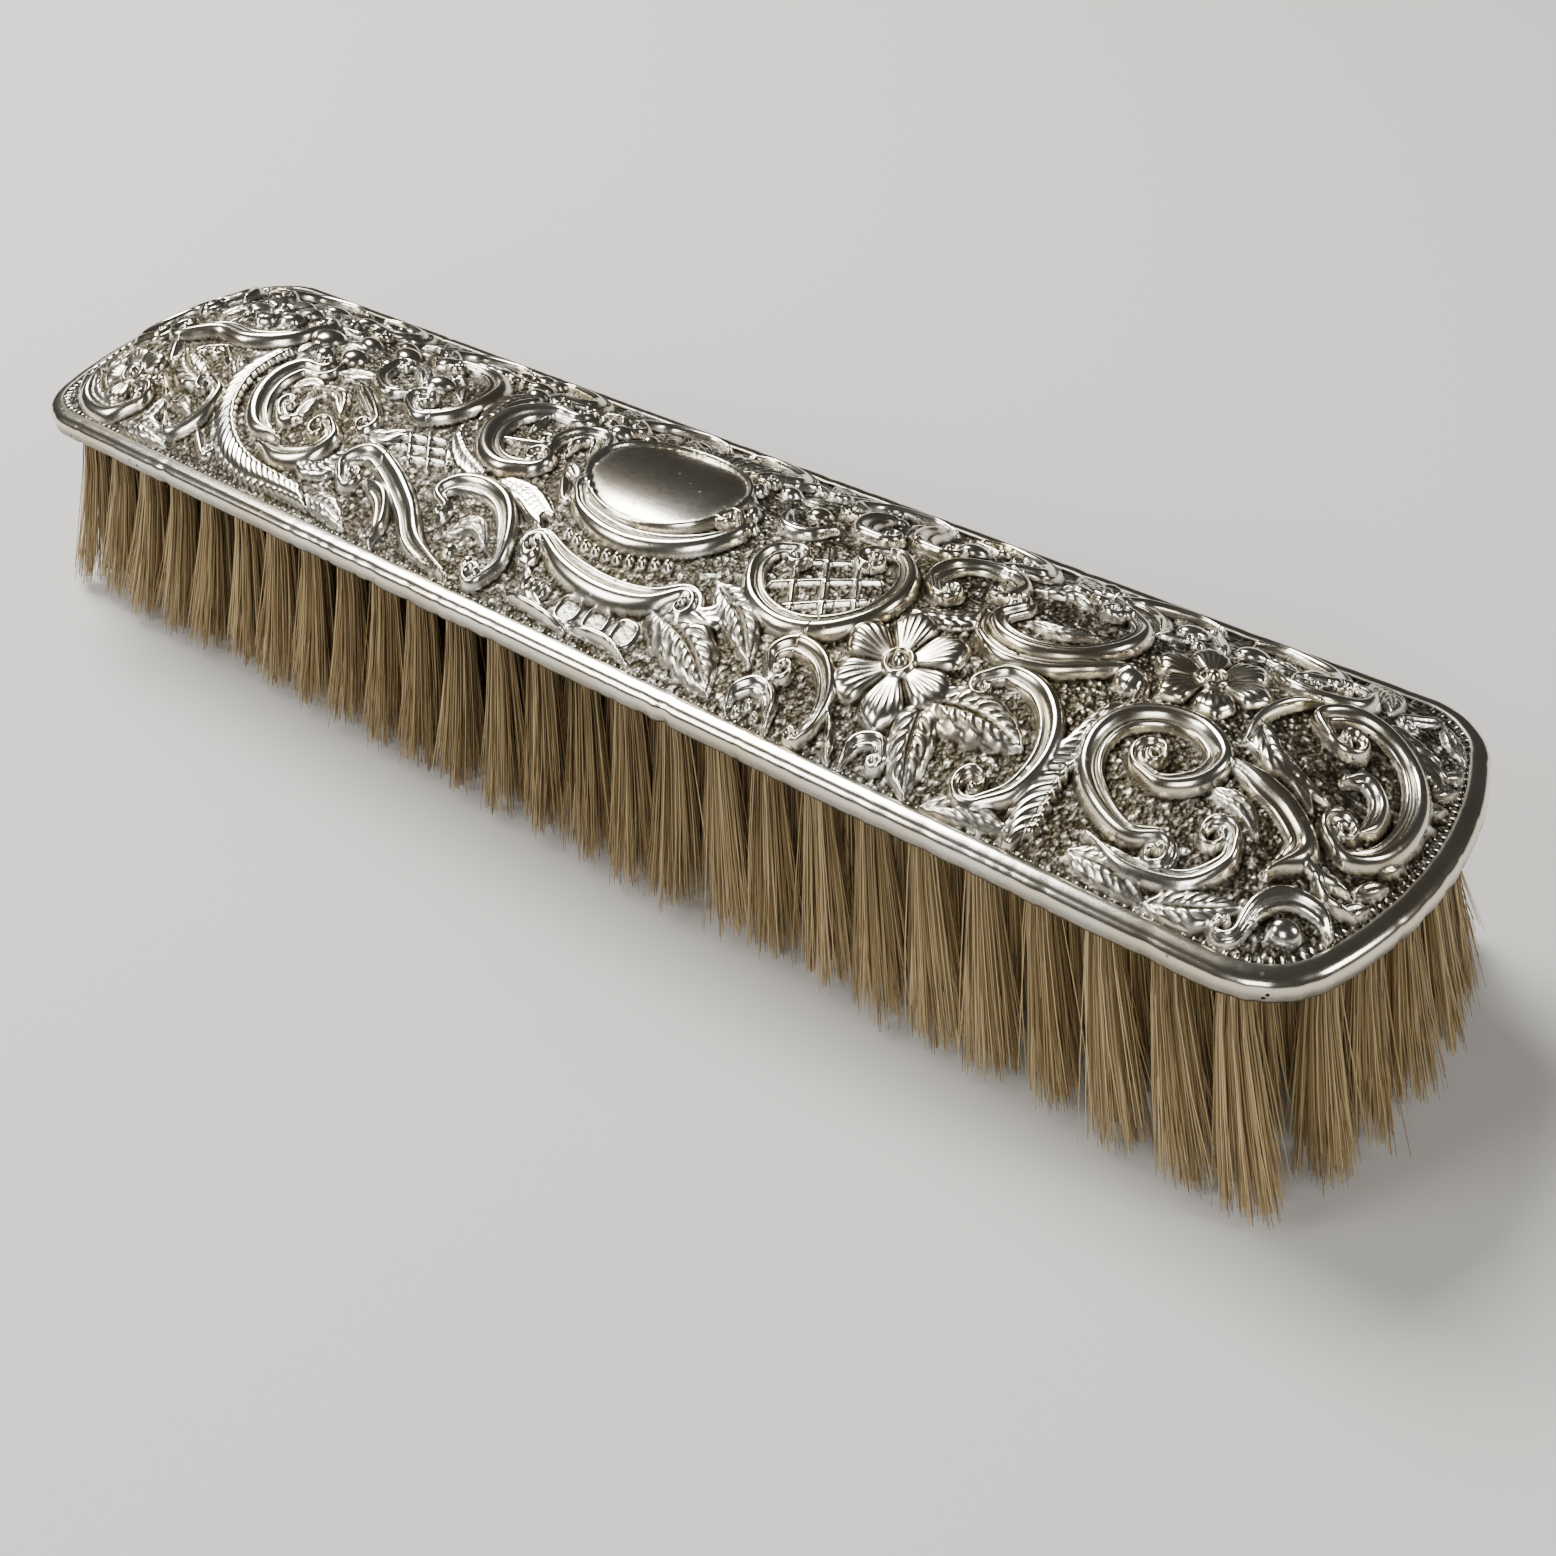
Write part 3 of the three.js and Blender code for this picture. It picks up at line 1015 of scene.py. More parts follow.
    def middle(self) -> list:
        """Round the blank cartouche in the middle of the back."""
        return [
            Scroll(
                ((-4.6, -4.2), (-2.4, -6.0), (1.2, -7.1), (5.0, -7.2), (8.8, -6.2), (12.0, -4.2),
                 (13.8, -1.4), (12.6, 0.5)),
                2.5, Curl(1.7, -1, 1.15), Curl(1.2, 1, 0.95), 1.15, outer=-1,
            ),
            Cartouche(2.0, 2.1, 8.8, 7.1, -0.12),
            Bead(11.0, 3.6, 0.75, 1.0, 1.9, 1.5),
            Bead(12.9, 2.2, 0.75, 1.0, 1.8, 1.9),
            Bead(10.0, 6.9, 0.75, 1.0, 1.8, 1.9),
            Bead(14.4, 0.2, 0.6, 0.8, 1.6, 2.0),
            BeadRow(((-1.8, -9.0), (2.0, -9.5), (6.0, -9.2), (10.4, -8.0)), 10, 0.6, 0.75),
            Scroll(
                ((14.0, -10.2), (11.0, -12.2), (6.0, -12.9), (0.6, -12.2), (-3.4, -10.6)),
                2.7, Curl(1.7, -1, 1.05), Curl(1.6, 1, 1.05), 1.15, outer=1,
            ),
            Leaf((12.6, -12.6), (22.6, -17.3), 5.4, 0.07, 9, 1.0, 0.06),
            Frond(((14.2, -12.8), (17.0, -11.8), (19.6, -10.2)), 5, 1.6, (1, -1), 0.7, 0.65),
            Leaf((17.0, -8.0), (24.6, -13.4), 3.9, 0.06, 7, 0.95, 0.06),
            Leaf((-3.6, -13.6), (3.2, -17.4), 1.6, -0.1, 5, 0.6),
            *[Punch(x, -15.6) for x in (3.8, 7.4, 11.0)],
            *[Bead(x, -15.0, 0.34, 0.75, 3.0, math.pi / 2) for x in (-2.4, -1.5, -0.6, 0.3)],
            Scroll(((-3.4, -16.9), (0.6, -17.1), (4.8, -17.6)), 0.8, section=Profile.ROUND),
            Scroll(((5.0, -17.2), (9.6, -16.9), (13.4, -17.9)), 0.9, section=Profile.RIDGE),
            *[
                Leaf(
                    (3.0 + 1.2 * i, 9.6 + 0.2 * (4 - abs(i))),
                    (3.0 + 2.5 * i, 15.8 - 0.3 * i * i),
                    2.1, 0, 4, 1.0,
                )
                for i in range(-3, 4)
            ],
            Bead(12.2, 9.2, 1.2, 0.9),
            Scroll(((14.8, 12.6), (12.4, 13.6), (11.2, 11.4)), 1.6, Curl(1.1, 1), None, 0.95),
            Scroll(
                ((-15.6, 6.8), (-18.4, 6.8), (-20.4, 4.0), (-20.6, 0.2), (-18.6, -3.2),
                 (-15.4, -4.6), (-12.2, -3.8)),
                2.9, Curl(1.5, 1, 1.0), Curl(1.7, 1, 1.1), 1.15, outer=-1,
            ),
            Scroll(
                ((-11.6, -1.6), (-13.0, 1.6), (-12.0, 5.0), (-9.4, 5.6), (-7.4, 3.0), (-6.6, 0.4)),
                1.5, outer=1,
            ),
            Scroll(((-10.6, 0.2), (-10.9, 2.4), (-9.6, 3.6), (-8.6, 1.8)), 0.9, section=Profile.ROUND),
            Bead(-10.0, 8.2, 1.5, 1.0),
            Bead(-6.2, 8.6, 1.1, 0.9),
            Frond(((-23.4, -2.8), (-20.2, -4.9), (-15.8, -6.6)), 8, 2.3, (-1,), 0.85, 0.75),
            Frond(((-13.6, -6.7), (-10.0, -7.0), (-6.0, -8.4)), 7, 2.0, (1, -1), 0.7, 0.7),
        ]

    def far_middle(self) -> list:
        """From the cartouche towards the far end."""
        return [
            Scroll(
                ((-16.8, -11.6), (-18.8, -10.6), (-17.4, -8.8), (-14.4, -8.1), (-11.0, -8.9),
                 (-8.4, -11.2), (-6.8, -14.4), (-7.4, -16.8)),
                2.1, Curl(0.9, -1, 0.8), Curl(1.2, -1, 1.0), 1.1, outer=1,
            ),
            Leaf((-14.6, -13.6), (-9.6, -13.4), 2.0, 0.3, 5, 0.8),
            Scroll(
                ((-31.4, -13.4), (-32.6, -11.6), (-30.2, -9.6), (-25.8, -10.9), (-21.2, -13.4),
                 (-17.4, -16.2), (-11.6, -17.8)),
                2.4, Curl(1.2, 1, 1.0), None, 1.1, outer=1,
            ),
            Scroll(((-28.6, -12.6), (-25.2, -13.4), (-23.0, -16.0), (-22.6, -18.2)), 1.7, outer=1),
            Lattice(-24.6, -6.4, 4.9, 2.6, 0.45, 0.6, 0.55),
            Scroll(
                ((-35.4, 9.8), (-31.2, 9.9), (-27.4, 7.2), (-25.8, 3.2), (-26.6, -0.6), (-29.4, -2.8),
                 (-32.2, -1.8)),
                2.4, Curl(1.3, 1, 1.0), Curl(1.7, -1, 1.1), 1.15, outer=1,
            ),
            Scroll(
                ((-40.6, 4.0), (-39.6, 0.8), (-36.4, -0.9), (-33.8, 0.2)),
                1.8, Curl(1.1, -1), None, 1.0,
            ),
            Bead(-37.0, 9.0, 1.9, 1.05, 1.2, 0.4),
            Bead(-33.4, 3.9, 1.5, 0.95, 1.2, 0.5),
            Leaf((-38.6, 5.6), (-34.4, 2.2), 2.4, 0.1, 5, 0.9),
            Leaf((-30.6, 5.6), (-27.8, 1.8), 1.8, -0.1, 5, 0.7),
            Scroll(((-40.4, -1.8), (-36.6, -3.8), (-33.8, -5.6)), 1.9, None, Curl(1.3, -1, 1.0), 1.0),
            Scroll(
                ((-45.4, -13.4), (-41.2, -13.7), (-37.8, -12.4), (-36.6, -10.0), (-38.2, -8.5)),
                2.2, None, Curl(1.4, 1, 1.0), 1.1, outer=-1,
            ),
            Frond(((-38.6, -14.0), (-35.4, -12.6), (-33.6, -10.2)), 6, 1.9, (-1,), 0.8, 0.65),
            Leaf((-34.2, -16.2), (-27.0, -17.6), 2.6, 0.06, 6, 0.75, 0.06),
            Leaf((-44.6, -4.6), (-38.4, -6.8), 2.6, 0.2, 6, 0.85),
            Bead(-42.6, 7.4, 1.7, 0.95, 1.3, -0.6),
            Bead(-41.6, 3.6, 1.2, 0.85),
            Bead(-44.6, 9.2, 1.3, 0.9, 1.3, -0.6),
            Frond(((-22.8, 9.4), (-23.6, 5.4), (-22.6, 1.4)), 6, 2.0, (1, -1), 0.7, 0.7),
            Bead(-24.0, 9.8, 1.4, 0.95),
        ]

    def far_end(self) -> list:
        """The end away from the viewer."""
        return [
            Scroll(
                ((-46.8, -2.2), (-49.2, -2.6), (-50.4, -5.6), (-49.6, -9.2), (-47.2, -11.6),
                 (-43.6, -12.0)),
                2.9, Curl(1.4, 1, 1.0), None, 1.15, outer=-1,
            ),
            Scroll(((-46.4, -8.8), (-44.8, -9.8), (-42.6, -9.0)), 1.5, Curl(1.0, -1), None, 0.9),
            Frond(
                ((-53.4, -0.6), (-54.0, -6.6), (-51.6, -11.8), (-45.6, -15.0), (-35.6, -16.0)),
                20, 3.0, (-1,), 0.6, 0.85,
            ),
            Scroll(
                ((-76.6, -12.6), (-73.6, -16.4), (-69.0, -17.0), (-66.0, -14.6)),
                2.3, None, Curl(1.3, 1, 1.0), 1.0,
            ),
            Leaf((-65.8, -17.6), (-57.6, -17.6), 3.0, 0.08, 6, 0.8, 0.06),
            Leaf((-72.6, -8.4), (-78.6, -11.4), 3.6, 0.08, 6, 0.9, 0.06),
            Scroll(
                ((-60.8, -14.6), (-58.2, -16.2), (-56.0, -13.4), (-56.1, -10.2), (-58.4, -9.0)),
                1.9, None, Curl(1.1, 1, 0.9), 1.05, outer=-1,
            ),
            Leaf((-61.4, -12.9), (-57.6, -13.3), 1.8, 0.1, 4, 0.8),
            Scroll(
                ((-69.0, -4.6), (-65.0, -1.5), (-60.2, -1.2), (-56.0, 1.6), (-54.8, 6.0)),
                2.8, Curl(1.8, -1, 1.0), Curl(1.4, 1, 1.0), 1.15,
            ),
            Bead(-52.9, 4.3, 2.1, 1.05),
            Bead(-46.2, 2.4, 1.7, 1.0),
            Bead(-48.0, 6.6, 1.4, 0.95, 1.4, -0.5),
            Bead(-50.0, 1.2, 1.2, 0.8),
            Leaf((-59.6, -9.6), (-66.0, -6.4), 4.2, 0.1, 7, 1.0),
            Leaf((-54.2, -7.4), (-58.8, -4.2), 2.6, 0.1, 5, 0.85),
            Leaf((-62.8, -13.4), (-63.4, -18.0), 2.4, 0.1, 5, 0.85),
            Flower(-70.0, -12.0, 4.4, 5, 0.3, 1.05),
            Flower(-63.6, 6.6, 4.8, 6, 0.1, 1.1),
            Scroll(
                ((-73.6, -5.8), (-77.2, -6.2), (-80.0, -3.4), (-80.4, 0.8), (-78.2, 4.2), (-74.4, 4.6)),
                2.2, Curl(1.4, 1, 1.0), Curl(1.6, -1, 1.0), 1.1, outer=-1,
            ),
            Leaf((-71.4, -1.2), (-77.8, -0.2), 2.8, 0.12, 6, 0.9),
            Scroll(((-70.6, 6.0), (-72.8, 9.2), (-76.4, 10.4), (-79.4, 8.6)), 1.9, None, Curl(1.2, 1), 1.0),
            Frond(((-68.2, -17.0), (-73.0, -16.2), (-77.4, -13.2)), 7, 1.9, (1, -1), 0.7, 0.65),
            Frond(((-79.6, -11.6), (-81.4, -6.0), (-82.0, 0.0)), 7, 1.4, (1, -1), 0.7, 0.55),
            Frond(((-80.4, 11.6), (-76.4, 14.4), (-71.0, 15.0)), 7, 1.7, (1, -1), 0.7, 0.65),
        ]

    def far_side(self) -> list:
        """The slope behind the crest, which repeats the same scrolls, leaves and flowers."""
        pieces = []
        for i, x in enumerate(np.arange(-66.0, 70.0, 14.6)):
            hand = 1 if i % 2 else -1
            pieces.append(
                Scroll(
                    ((x - 5.6 * hand, 16.4), (x - 2.2 * hand, 17.3), (x + 2.2 * hand, 15.8),
                     (x + 3.6 * hand, 12.6), (x + 1.4 * hand, 10.9)),
                    2.0, None, Curl(1.4, hand, 1.0), 1.05,
                )
            )
            pieces.append(Leaf((x + 5.0 * hand, 17.4), (x + 8.6 * hand, 12.2), 2.6, 0.12, 6, 0.85))
            pieces.append(Bead(x - 4.4 * hand, 12.8, 1.3, 0.9, 1.3, 0.6))
        for x, radius in ((-51.5, 4.0), (45.4, 3.6), (-29.0, 3.6)):
            pieces.append(Flower(x, 14.4, radius, 6, 0.3, 1.0))
        return pieces

    def draw(self, relief: ReliefMap) -> None:
        """Chases every ornament, then small sprigs in the gaps, and softens the creases."""
        for group in (
            self.far_side(),
            self.far_end(),
            self.far_middle(),
            self.middle(),
            self.flower_bed(),
            self.near_end(),
        ):
            for ornament in group:
                ornament.chase(relief)
        fill_gaps(relief)
        relief.height = blurred(relief.height, 0.8) * self.boldness


# ---------------------------------------------------------------- finishes


@dataclass(frozen=True)
class SilverFinish:
    """Sterling silver, stamped and chased: bright ridges, oxide in the creases, a few dark pits, and
    painted shade that its pieces carry in the same attribute.
    """

    bright: str = "F4EFE2"
    warm: str = "DDD0B4"
    # This dark colour stands for oxide, and it also paints the shade that the recess attribute carries.
    oxide: str = "292316"
    polished: float = 0.12
    matted: float = 0.44
    scratch_mm: float = 0.5
    stipple_mm: float = 0.42
    cloud_mm: float = 9.0
    pit_spacing_mm: float = 2.4
    pit_share: float = 0.09

    def make(self) -> bpy.types.Material:
        """Makes the material. It reads the attributes recess and ground of its piece; recess darkens it for
        oxide and for painted shade alike.
        """
        material, tree = new_material("oxidised_sterling_silver")
        place = add_node(tree, "ShaderNodeTexCoord").outputs["Object"]
        recess = add_node(tree, "ShaderNodeAttribute", attribute_name="recess").outputs["Fac"]
        ground = add_node(tree, "ShaderNodeAttribute", attribute_name="ground").outputs["Fac"]
        cloud = noise(tree, place, self.cloud_mm, 4.0)
        grain = noise(tree, place, self.scratch_mm, 5.0, 0.7)
        punch = scatter(tree, place, self.stipple_mm)
        tone = map_range(tree, cloud, (0.35, 0.7))
        silver = mix(tree, tone, linear(self.bright), linear(self.warm))
        speckle = map_range(tree, grain, (0.3, 0.7), (0.88, 1.12))
        wander = add_node(
            tree, "ShaderNodeVectorMath", {0: place, 1: (3.1 * MM, 0.0, 0.0)}, operation="ADD"
        ).outputs[0]
        pit = scatter(tree, wander, self.pit_spacing_mm)
        pitted = map_range(tree, pit, (self.pit_share, 0.05), (0.0, 0.7))
        # Recess brings oxide, and painted shade from the rim's lower side and the engraved lines; both
        # darken the colour towards the oxide colour.
        held = add_node(tree, "ShaderNodeMath", {0: recess, 1: pitted}, operation="ADD").outputs[0]
        tarnish_and_shade = add_node(
            tree, "ShaderNodeMath", {0: held, 1: speckle}, operation="MULTIPLY", use_clamp=True
        ).outputs[0]
        colour = mix(tree, tarnish_and_shade, silver, linear(self.oxide))
        rough = map_range(tree, tarnish_and_shade, target=(self.polished, self.matted))
        haze = add_node(
            tree,
            "ShaderNodeMath",
            {0: grain, 1: 0.1, 2: rough},
            operation="MULTIPLY_ADD",
        ).outputs[0]
        fine = add_node(
            tree,
            "ShaderNodeBump",
            {"Height": grain, "Strength": 0.12, "Distance": 0.05 * MM},
        ).outputs["Normal"]
        dots = add_node(
            tree,
            "ShaderNodeMath",
            {0: punch, 1: ground},
            operation="MULTIPLY",
        ).outputs[0]
        normal = add_node(
            tree,
            "ShaderNodeBump",
            {"Height": dots, "Strength": 0.9, "Distance": 0.16 * MM, "Normal": fine},
        ).outputs["Normal"]
        add_surface(
            tree, {"Base Color": colour, "Roughness": haze, "Normal": normal, "Metallic": 1.0}
        )
        return material


@dataclass(frozen=True)
class BristleFinish:
    """Undyed natural bristle: straw-coloured hairs, matt, denser at the root and painted darker there as
    shade.
    """

    pale: str = "CBB486"
    mid: str = "9F865B"
    dark: str = "665231"

    def make(self) -> bpy.types.Material:
        """Makes the material. It reads the attributes tone and along of its piece."""
        material, tree = new_material("natural_bristle")
        tone = add_node(tree, "ShaderNodeAttribute", attribute_name="tone").outputs["Fac"]
        along = add_node(tree, "ShaderNodeAttribute", attribute_name="along").outputs["Fac"]
        ramp = add_node(tree, "ShaderNodeValToRGB", {0: tone})
        ramp.color_ramp.elements[0].color = linear(self.dark)
        ramp.color_ramp.elements[1].color = linear(self.pale)
        middle = ramp.color_ramp.elements.new(0.45)
        middle.color = linear(self.mid)
        # Painted shade: each hair's colour darkens towards its root, where the rim's shadow falls.
        root = map_range(tree, along, (0.0, 0.6), (0.62, 1.0))
        shade = mix(tree, 1.0, ramp.outputs[0], root, blend_type="MULTIPLY")
        add_surface(tree, {"Base Color": shade, "Roughness": 0.42, "Specular IOR Level": 0.45})
        return material


@dataclass(frozen=True)
class WoodFinish:
    """Oiled beech, turned dark with age, with its grain along the brush."""

    light: str = "6B4A30"
    dark: str = "3A2618"
    grain_mm: float = 1.4
    stretch: float = 14.0

    def make(self) -> bpy.types.Material:
        """Makes the material."""
        material, tree = new_material("oiled_beech")
        place = add_node(tree, "ShaderNodeTexCoord").outputs["Object"]
        long = add_node(
            tree, "ShaderNodeMapping", {"Vector": place, "Scale": (1 / self.stretch, 1.0, 1.0)}
        ).outputs["Vector"]
        grain = noise(tree, long, self.grain_mm, 6.0, distortion=0.4)
        colour = mix(tree, grain, linear(self.dark), linear(self.light))
        normal = add_node(
            tree, "ShaderNodeBump", {"Height": grain, "Strength": 0.3, "Distance": 0.1 * MM}
        ).outputs["Normal"]
        rough = map_range(tree, grain, target=(0.45, 0.62))
        add_surface(tree, {"Base Color": colour, "Roughness": rough, "Normal": normal})
        return material


@dataclass(frozen=True)
class MottledFinish:
    """A plain material with a little mottling, for parts that are hardly seen."""

    name: str
    light: str
    dark: str
    roughness: float
    metallic: float
    patch_mm: float

    def make(self) -> bpy.types.Material:
        """Makes the material."""
        material, tree = new_material(self.name)
        place = add_node(tree, "ShaderNodeTexCoord").outputs["Object"]
        patch = noise(tree, place, self.patch_mm, 3.0)
        colour = mix(tree, patch, linear(self.dark), linear(self.light))
        rough = map_range(tree, patch, target=(self.roughness - 0.08, self.roughness + 0.08))
        add_surface(tree, {"Base Color": colour, "Roughness": rough, "Metallic": self.metallic})
        return material


# ---------------------------------------------------------------- the silver back


@dataclass
class SilverBack:
    """The stamped silver: four lengths of chased field, the plain rim and its notched border."""

    plan: Plan
    material: bpy.types.Material
    seam: float = 28.0
    near_seam: float = 56.0
    cells: tuple[int, int] = (344, 240)
    near_cells: tuple[int, int] = (240, 344)
    coarse: int = 8
    edge_inset: float = 1.55
    ground_drop: float = 1.1
    border_drop: float = 0.4
    sheet: float = 0.2
    grit: float = 0.05
    shoulder: float = 0.24
    edge_fade: float = 0.025
    hollow_reach: float = 9
    crease_reach: float = 3.5
    hollow_oxide: float = 1.9
    crease_oxide: float = 3.0
    vein_oxide_and_shade: float = 0.75
    peak_rub: float = 0.5
    rubbed: float = 0.04
    inner_floor: float = 1.55
    rim_count: int = 1100
    waves: tuple[int, ...] = (9, 17, 31, 53, 88)
    dent_size: float = 0.018
    sag_size: float = 0.03
    nicks: int = 140
    nick_scale: float = 62.0
    nick_depth: tuple[float, float] = (0.04, 0.13)
    nick_width: tuple[float, float] = (0.3, 0.9)
    border_count: int = 720
    border_inset: float = 0.5
    border_sink: float = 0.2
    bead_pitch: float = 0.86
    bead_length: float = 0.72
    bead_width: float = 0.28
    bead_rise: float = 0.3
    seed: int = 5

    def prepare(self) -> None:
        """Chases the ornament and works out the surface, where oxide stays on it, and where painted shade
        darkens its engraved lines.
        """
        relief = ReliefMap(self.plan)
        Chasing().draw(relief)
        rng = np.random.default_rng(self.seed)
        grit = blurred(rng.standard_normal(relief.height.shape), 1.5)
        grit *= self.grit / grit.std()
        bare = 1 - smooth_step(blurred(relief.height, 1.5), 0.05, 0.3)
        hollow = blurred(relief.height, self.hollow_reach) - relief.height
        crease = blurred(relief.height, self.crease_reach) - relief.height
        self.ground = bare
        peaks = smooth_step(grit, 0.6 * self.grit, 1.8 * self.grit)
        # Engraved lines: oxide, and painted shade for the depth the cuts lack.
        engraved = self.vein_oxide_and_shade * blurred(relief.lines, 0.6)
        self.recess = np.clip(
            bare * (1.0 - self.peak_rub * peaks)
            + self.hollow_oxide * np.clip(hollow, 0, 1) * (1 - bare)
            + self.crease_oxide * np.clip(crease, 0, 1) * (1 - bare)
            + engraved
            - self.rubbed,
            0,
            1,
        )
        xs, ys = np.meshgrid(relief.x, relief.y, indexing="ij")
        rise = self.plan.climb(xs, ys)
        sunk = smooth_step(rise, 0, self.shoulder)
        drop = self.border_drop + (self.ground_drop - self.border_drop) * sunk
        fade = smooth_step(rise, 0.0, self.edge_fade)
        chased = (relief.height + np.clip(grit, -0.1, 0.16) * bare) * fade
        self.floor = self.plan.dome(xs, ys) - drop
        self.surface = self.floor + chased
        self.relief = relief

    def sample(self, values: np.ndarray, places: np.ndarray) -> np.ndarray:
        """Reads a map at any places, between its cells."""
        relief = self.relief
        fx = np.clip((places[:, 0] - relief.x[0]) / relief.cell, 0, len(relief.x) - 1.001)
        fy = np.clip((places[:, 1] - relief.y[0]) / relief.cell, 0, len(relief.y) - 1.001)
        i, j = fx.astype(int), fy.astype(int)
        a, b = fx - i, fy - j
        low = values[i, j] * (1 - a) + values[i + 1, j] * a
        high = values[i, j + 1] * (1 - a) + values[i + 1, j + 1] * a
        return low * (1 - b) + high * b

    def end_grid(self, seam_x: float, cells: tuple[int, int]) -> np.ndarray:
        """Places of a grid between a seam and the round +X end.

        Args:
            seam_x: Where the seam crosses the brush.
            cells: Number of cells along and across.

        Returns:
            Plan places, first along and then across.
        """
        along, across = cells
        quarter = self.plan.quarter()
        inset = np.column_stack([np.cos(quarter[:, 2]), np.sin(quarter[:, 2])]) * self.edge_inset
        edge = quarter[:, :2] - inset
        split = int(np.argmin(np.abs(quarter[:, 2] - math.pi / 4)))
        end_half = edge[: split + 1]
        end = evenly_counted(np.vstack([(end_half * [1, -1])[::-1], end_half[1:]]), across)
        side = edge[split:]
        side = side[side[:, 0] >= seam_x]
        side = np.vstack([side, [seam_x, side[-1, 1]]])[::-1]
        top = evenly_counted(side, along)
        bottom = top * [1, -1]
        reach = top[0, 1]
        seam = np.column_stack([np.full(across + 1, seam_x), np.linspace(-reach, reach, across + 1)])
        u = np.linspace(0, 1, along + 1)[:, None, None]
        v = np.linspace(0, 1, across + 1)[None, :, None]
        ruled = (1 - v) * bottom[:, None] + v * top[:, None]
        crossed = (1 - u) * seam[None] + u * end[None]
        corners = (
            (1 - u) * (1 - v) * bottom[0]
            + u * (1 - v) * bottom[-1]
            + (1 - u) * v * top[0]
            + u * v * top[-1]
        )
        return ruled + crossed - corners

    def straight_grid(self, low: float, high: float, cells: tuple[int, int]) -> np.ndarray:
        """Places of a grid between two seams.

        Args:
            low: Where the first seam crosses the brush.
            high: Where the second seam crosses it.
            cells: Number of cells along and across.

        Returns:
            Plan places, first along and then across.
        """
        reach = self.plan.width / 2 - self.edge_inset
        xs = np.linspace(low, high, cells[0] + 1)
        ys = np.linspace(-reach, reach, cells[1] + 1)
        return np.stack(np.meshgrid(xs, ys, indexing="ij"), axis=-1)

    def field_piece(self, name: str, grid: np.ndarray) -> bpy.types.Object:
        """Builds one closed length of the field: chased face, edge walls and plain inner face.

        Args:
            name: The piece's name.
            grid: Plan places, first along and then across the brush.

        Returns:
            The piece, with its recess and ground attributes.
        """
        nu, nv = grid.shape[0] - 1, grid.shape[1] - 1
        flat = grid.reshape(-1, 2)
        face = np.column_stack([flat, self.sample(self.surface, flat)])
        inner_grid = grid[:: self.coarse, :: self.coarse]
        inner_flat = inner_grid.reshape(-1, 2)
        low = self.plan.rim_bottom + self.inner_floor
        under = np.maximum(self.sample(self.floor, inner_flat) - self.sheet, low)
        inner = np.column_stack([inner_flat, under])
        number = np.arange(len(face)).reshape(nu + 1, nv + 1)
        deep = np.arange(len(inner)).reshape(inner_grid.shape[:2]) + len(face)
        top = quads(number)
        bottom = quads(deep)[:, ::-1]
        wall = self.walls(rim_of(number), rim_of(deep))
        faces = [top, bottom, wall]
        across = np.cross(
            np.append(grid[1, 0] - grid[0, 0], 0.0), np.append(grid[0, 1] - grid[0, 0], 0.0)
        )
        if across[2] < 0:
            faces = [f[:, ::-1] for f in faces]
        piece = build_mesh(name, np.vstack([face, inner]), faces[:1], tuple(faces[1:]))
        nothing = np.zeros(len(inner))
        add_attribute(piece, "recess", np.concatenate([self.sample(self.recess, flat), nothing]))
        add_attribute(piece, "ground", np.concatenate([self.sample(self.ground, flat), nothing]))
        return piece

    def walls(self, fine: np.ndarray, rough: np.ndarray) -> np.ndarray:
        """Joins a finely divided edge to a coarse one below it.

        Args:
            fine: Vertex numbers round the upper edge.
            rough: Vertex numbers round the lower edge, one for every few above.

        Returns:
            Triangles that close the gap.
        """
        step = self.coarse
        found = []
        for j in range(len(rough)):
            here, after = rough[j], rough[(j + 1) % len(rough)]
            span = [fine[(j * step + k) % len(fine)] for k in range(step + 1)]
            for k in range(step):
                foot = here if k < step // 2 else after
                found.append((span[k + 1], span[k], foot))
            found.append((span[step // 2], here, after))
        return np.array(found)

    def rim(self) -> bpy.types.Object:
        """Builds the plain rim that wraps the stock's edge, slightly dented from use."""
        outside = (
            (0.95, -0.3), (0.5, -0.3), (0.2, -0.14), (0.05, 0.3), (0.02, 0.85), (0.12, 1.4),
            (0.34, 1.82), (0.72, 2.14), (1.25, 2.32), (1.72, 2.38), (1.98, 2.26), (2.12, 1.6),
        )
        inside = ((1.7, 1.52), (1.2, 1.5), (0.8, 1.2), (0.66, 0.7), (0.7, 0.15), (0.95, -0.3))
        profile = np.vstack([spline(outside, 0.17), spline(inside, 0.4)[:-1]])
        count = self.rim_count
        edge, out = self.plan.loop(count)
        rng = np.random.default_rng(self.seed)
        around = np.linspace(0, 2 * math.pi, count, endpoint=False)
        dent = np.zeros(count)
        sag = np.zeros(count)
        for waves in self.waves:
            dent += rng.normal(0, self.dent_size) * np.sin(waves * around + rng.uniform(0, 6.3))
            sag += rng.normal(0, self.sag_size) * np.sin(waves * around + rng.uniform(0, 6.3))
        for _ in range(self.nicks):
            off = np.angle(np.exp(1j * (around - rng.uniform(0, 2 * math.pi)))) * self.nick_scale
            depth = rng.uniform(*self.nick_depth)
            dent += depth * np.exp(-((off / rng.uniform(*self.nick_width)) ** 2))
        lower = np.clip(1 - profile[:, 1] / 1.6, 0, 1)
        inset = profile[None, :, 0] + dent[:, None] * (0.5 + lower[None, :])
        height = self.plan.rim_bottom + profile[None, :, 1] + sag[:, None] * lower[None, :]
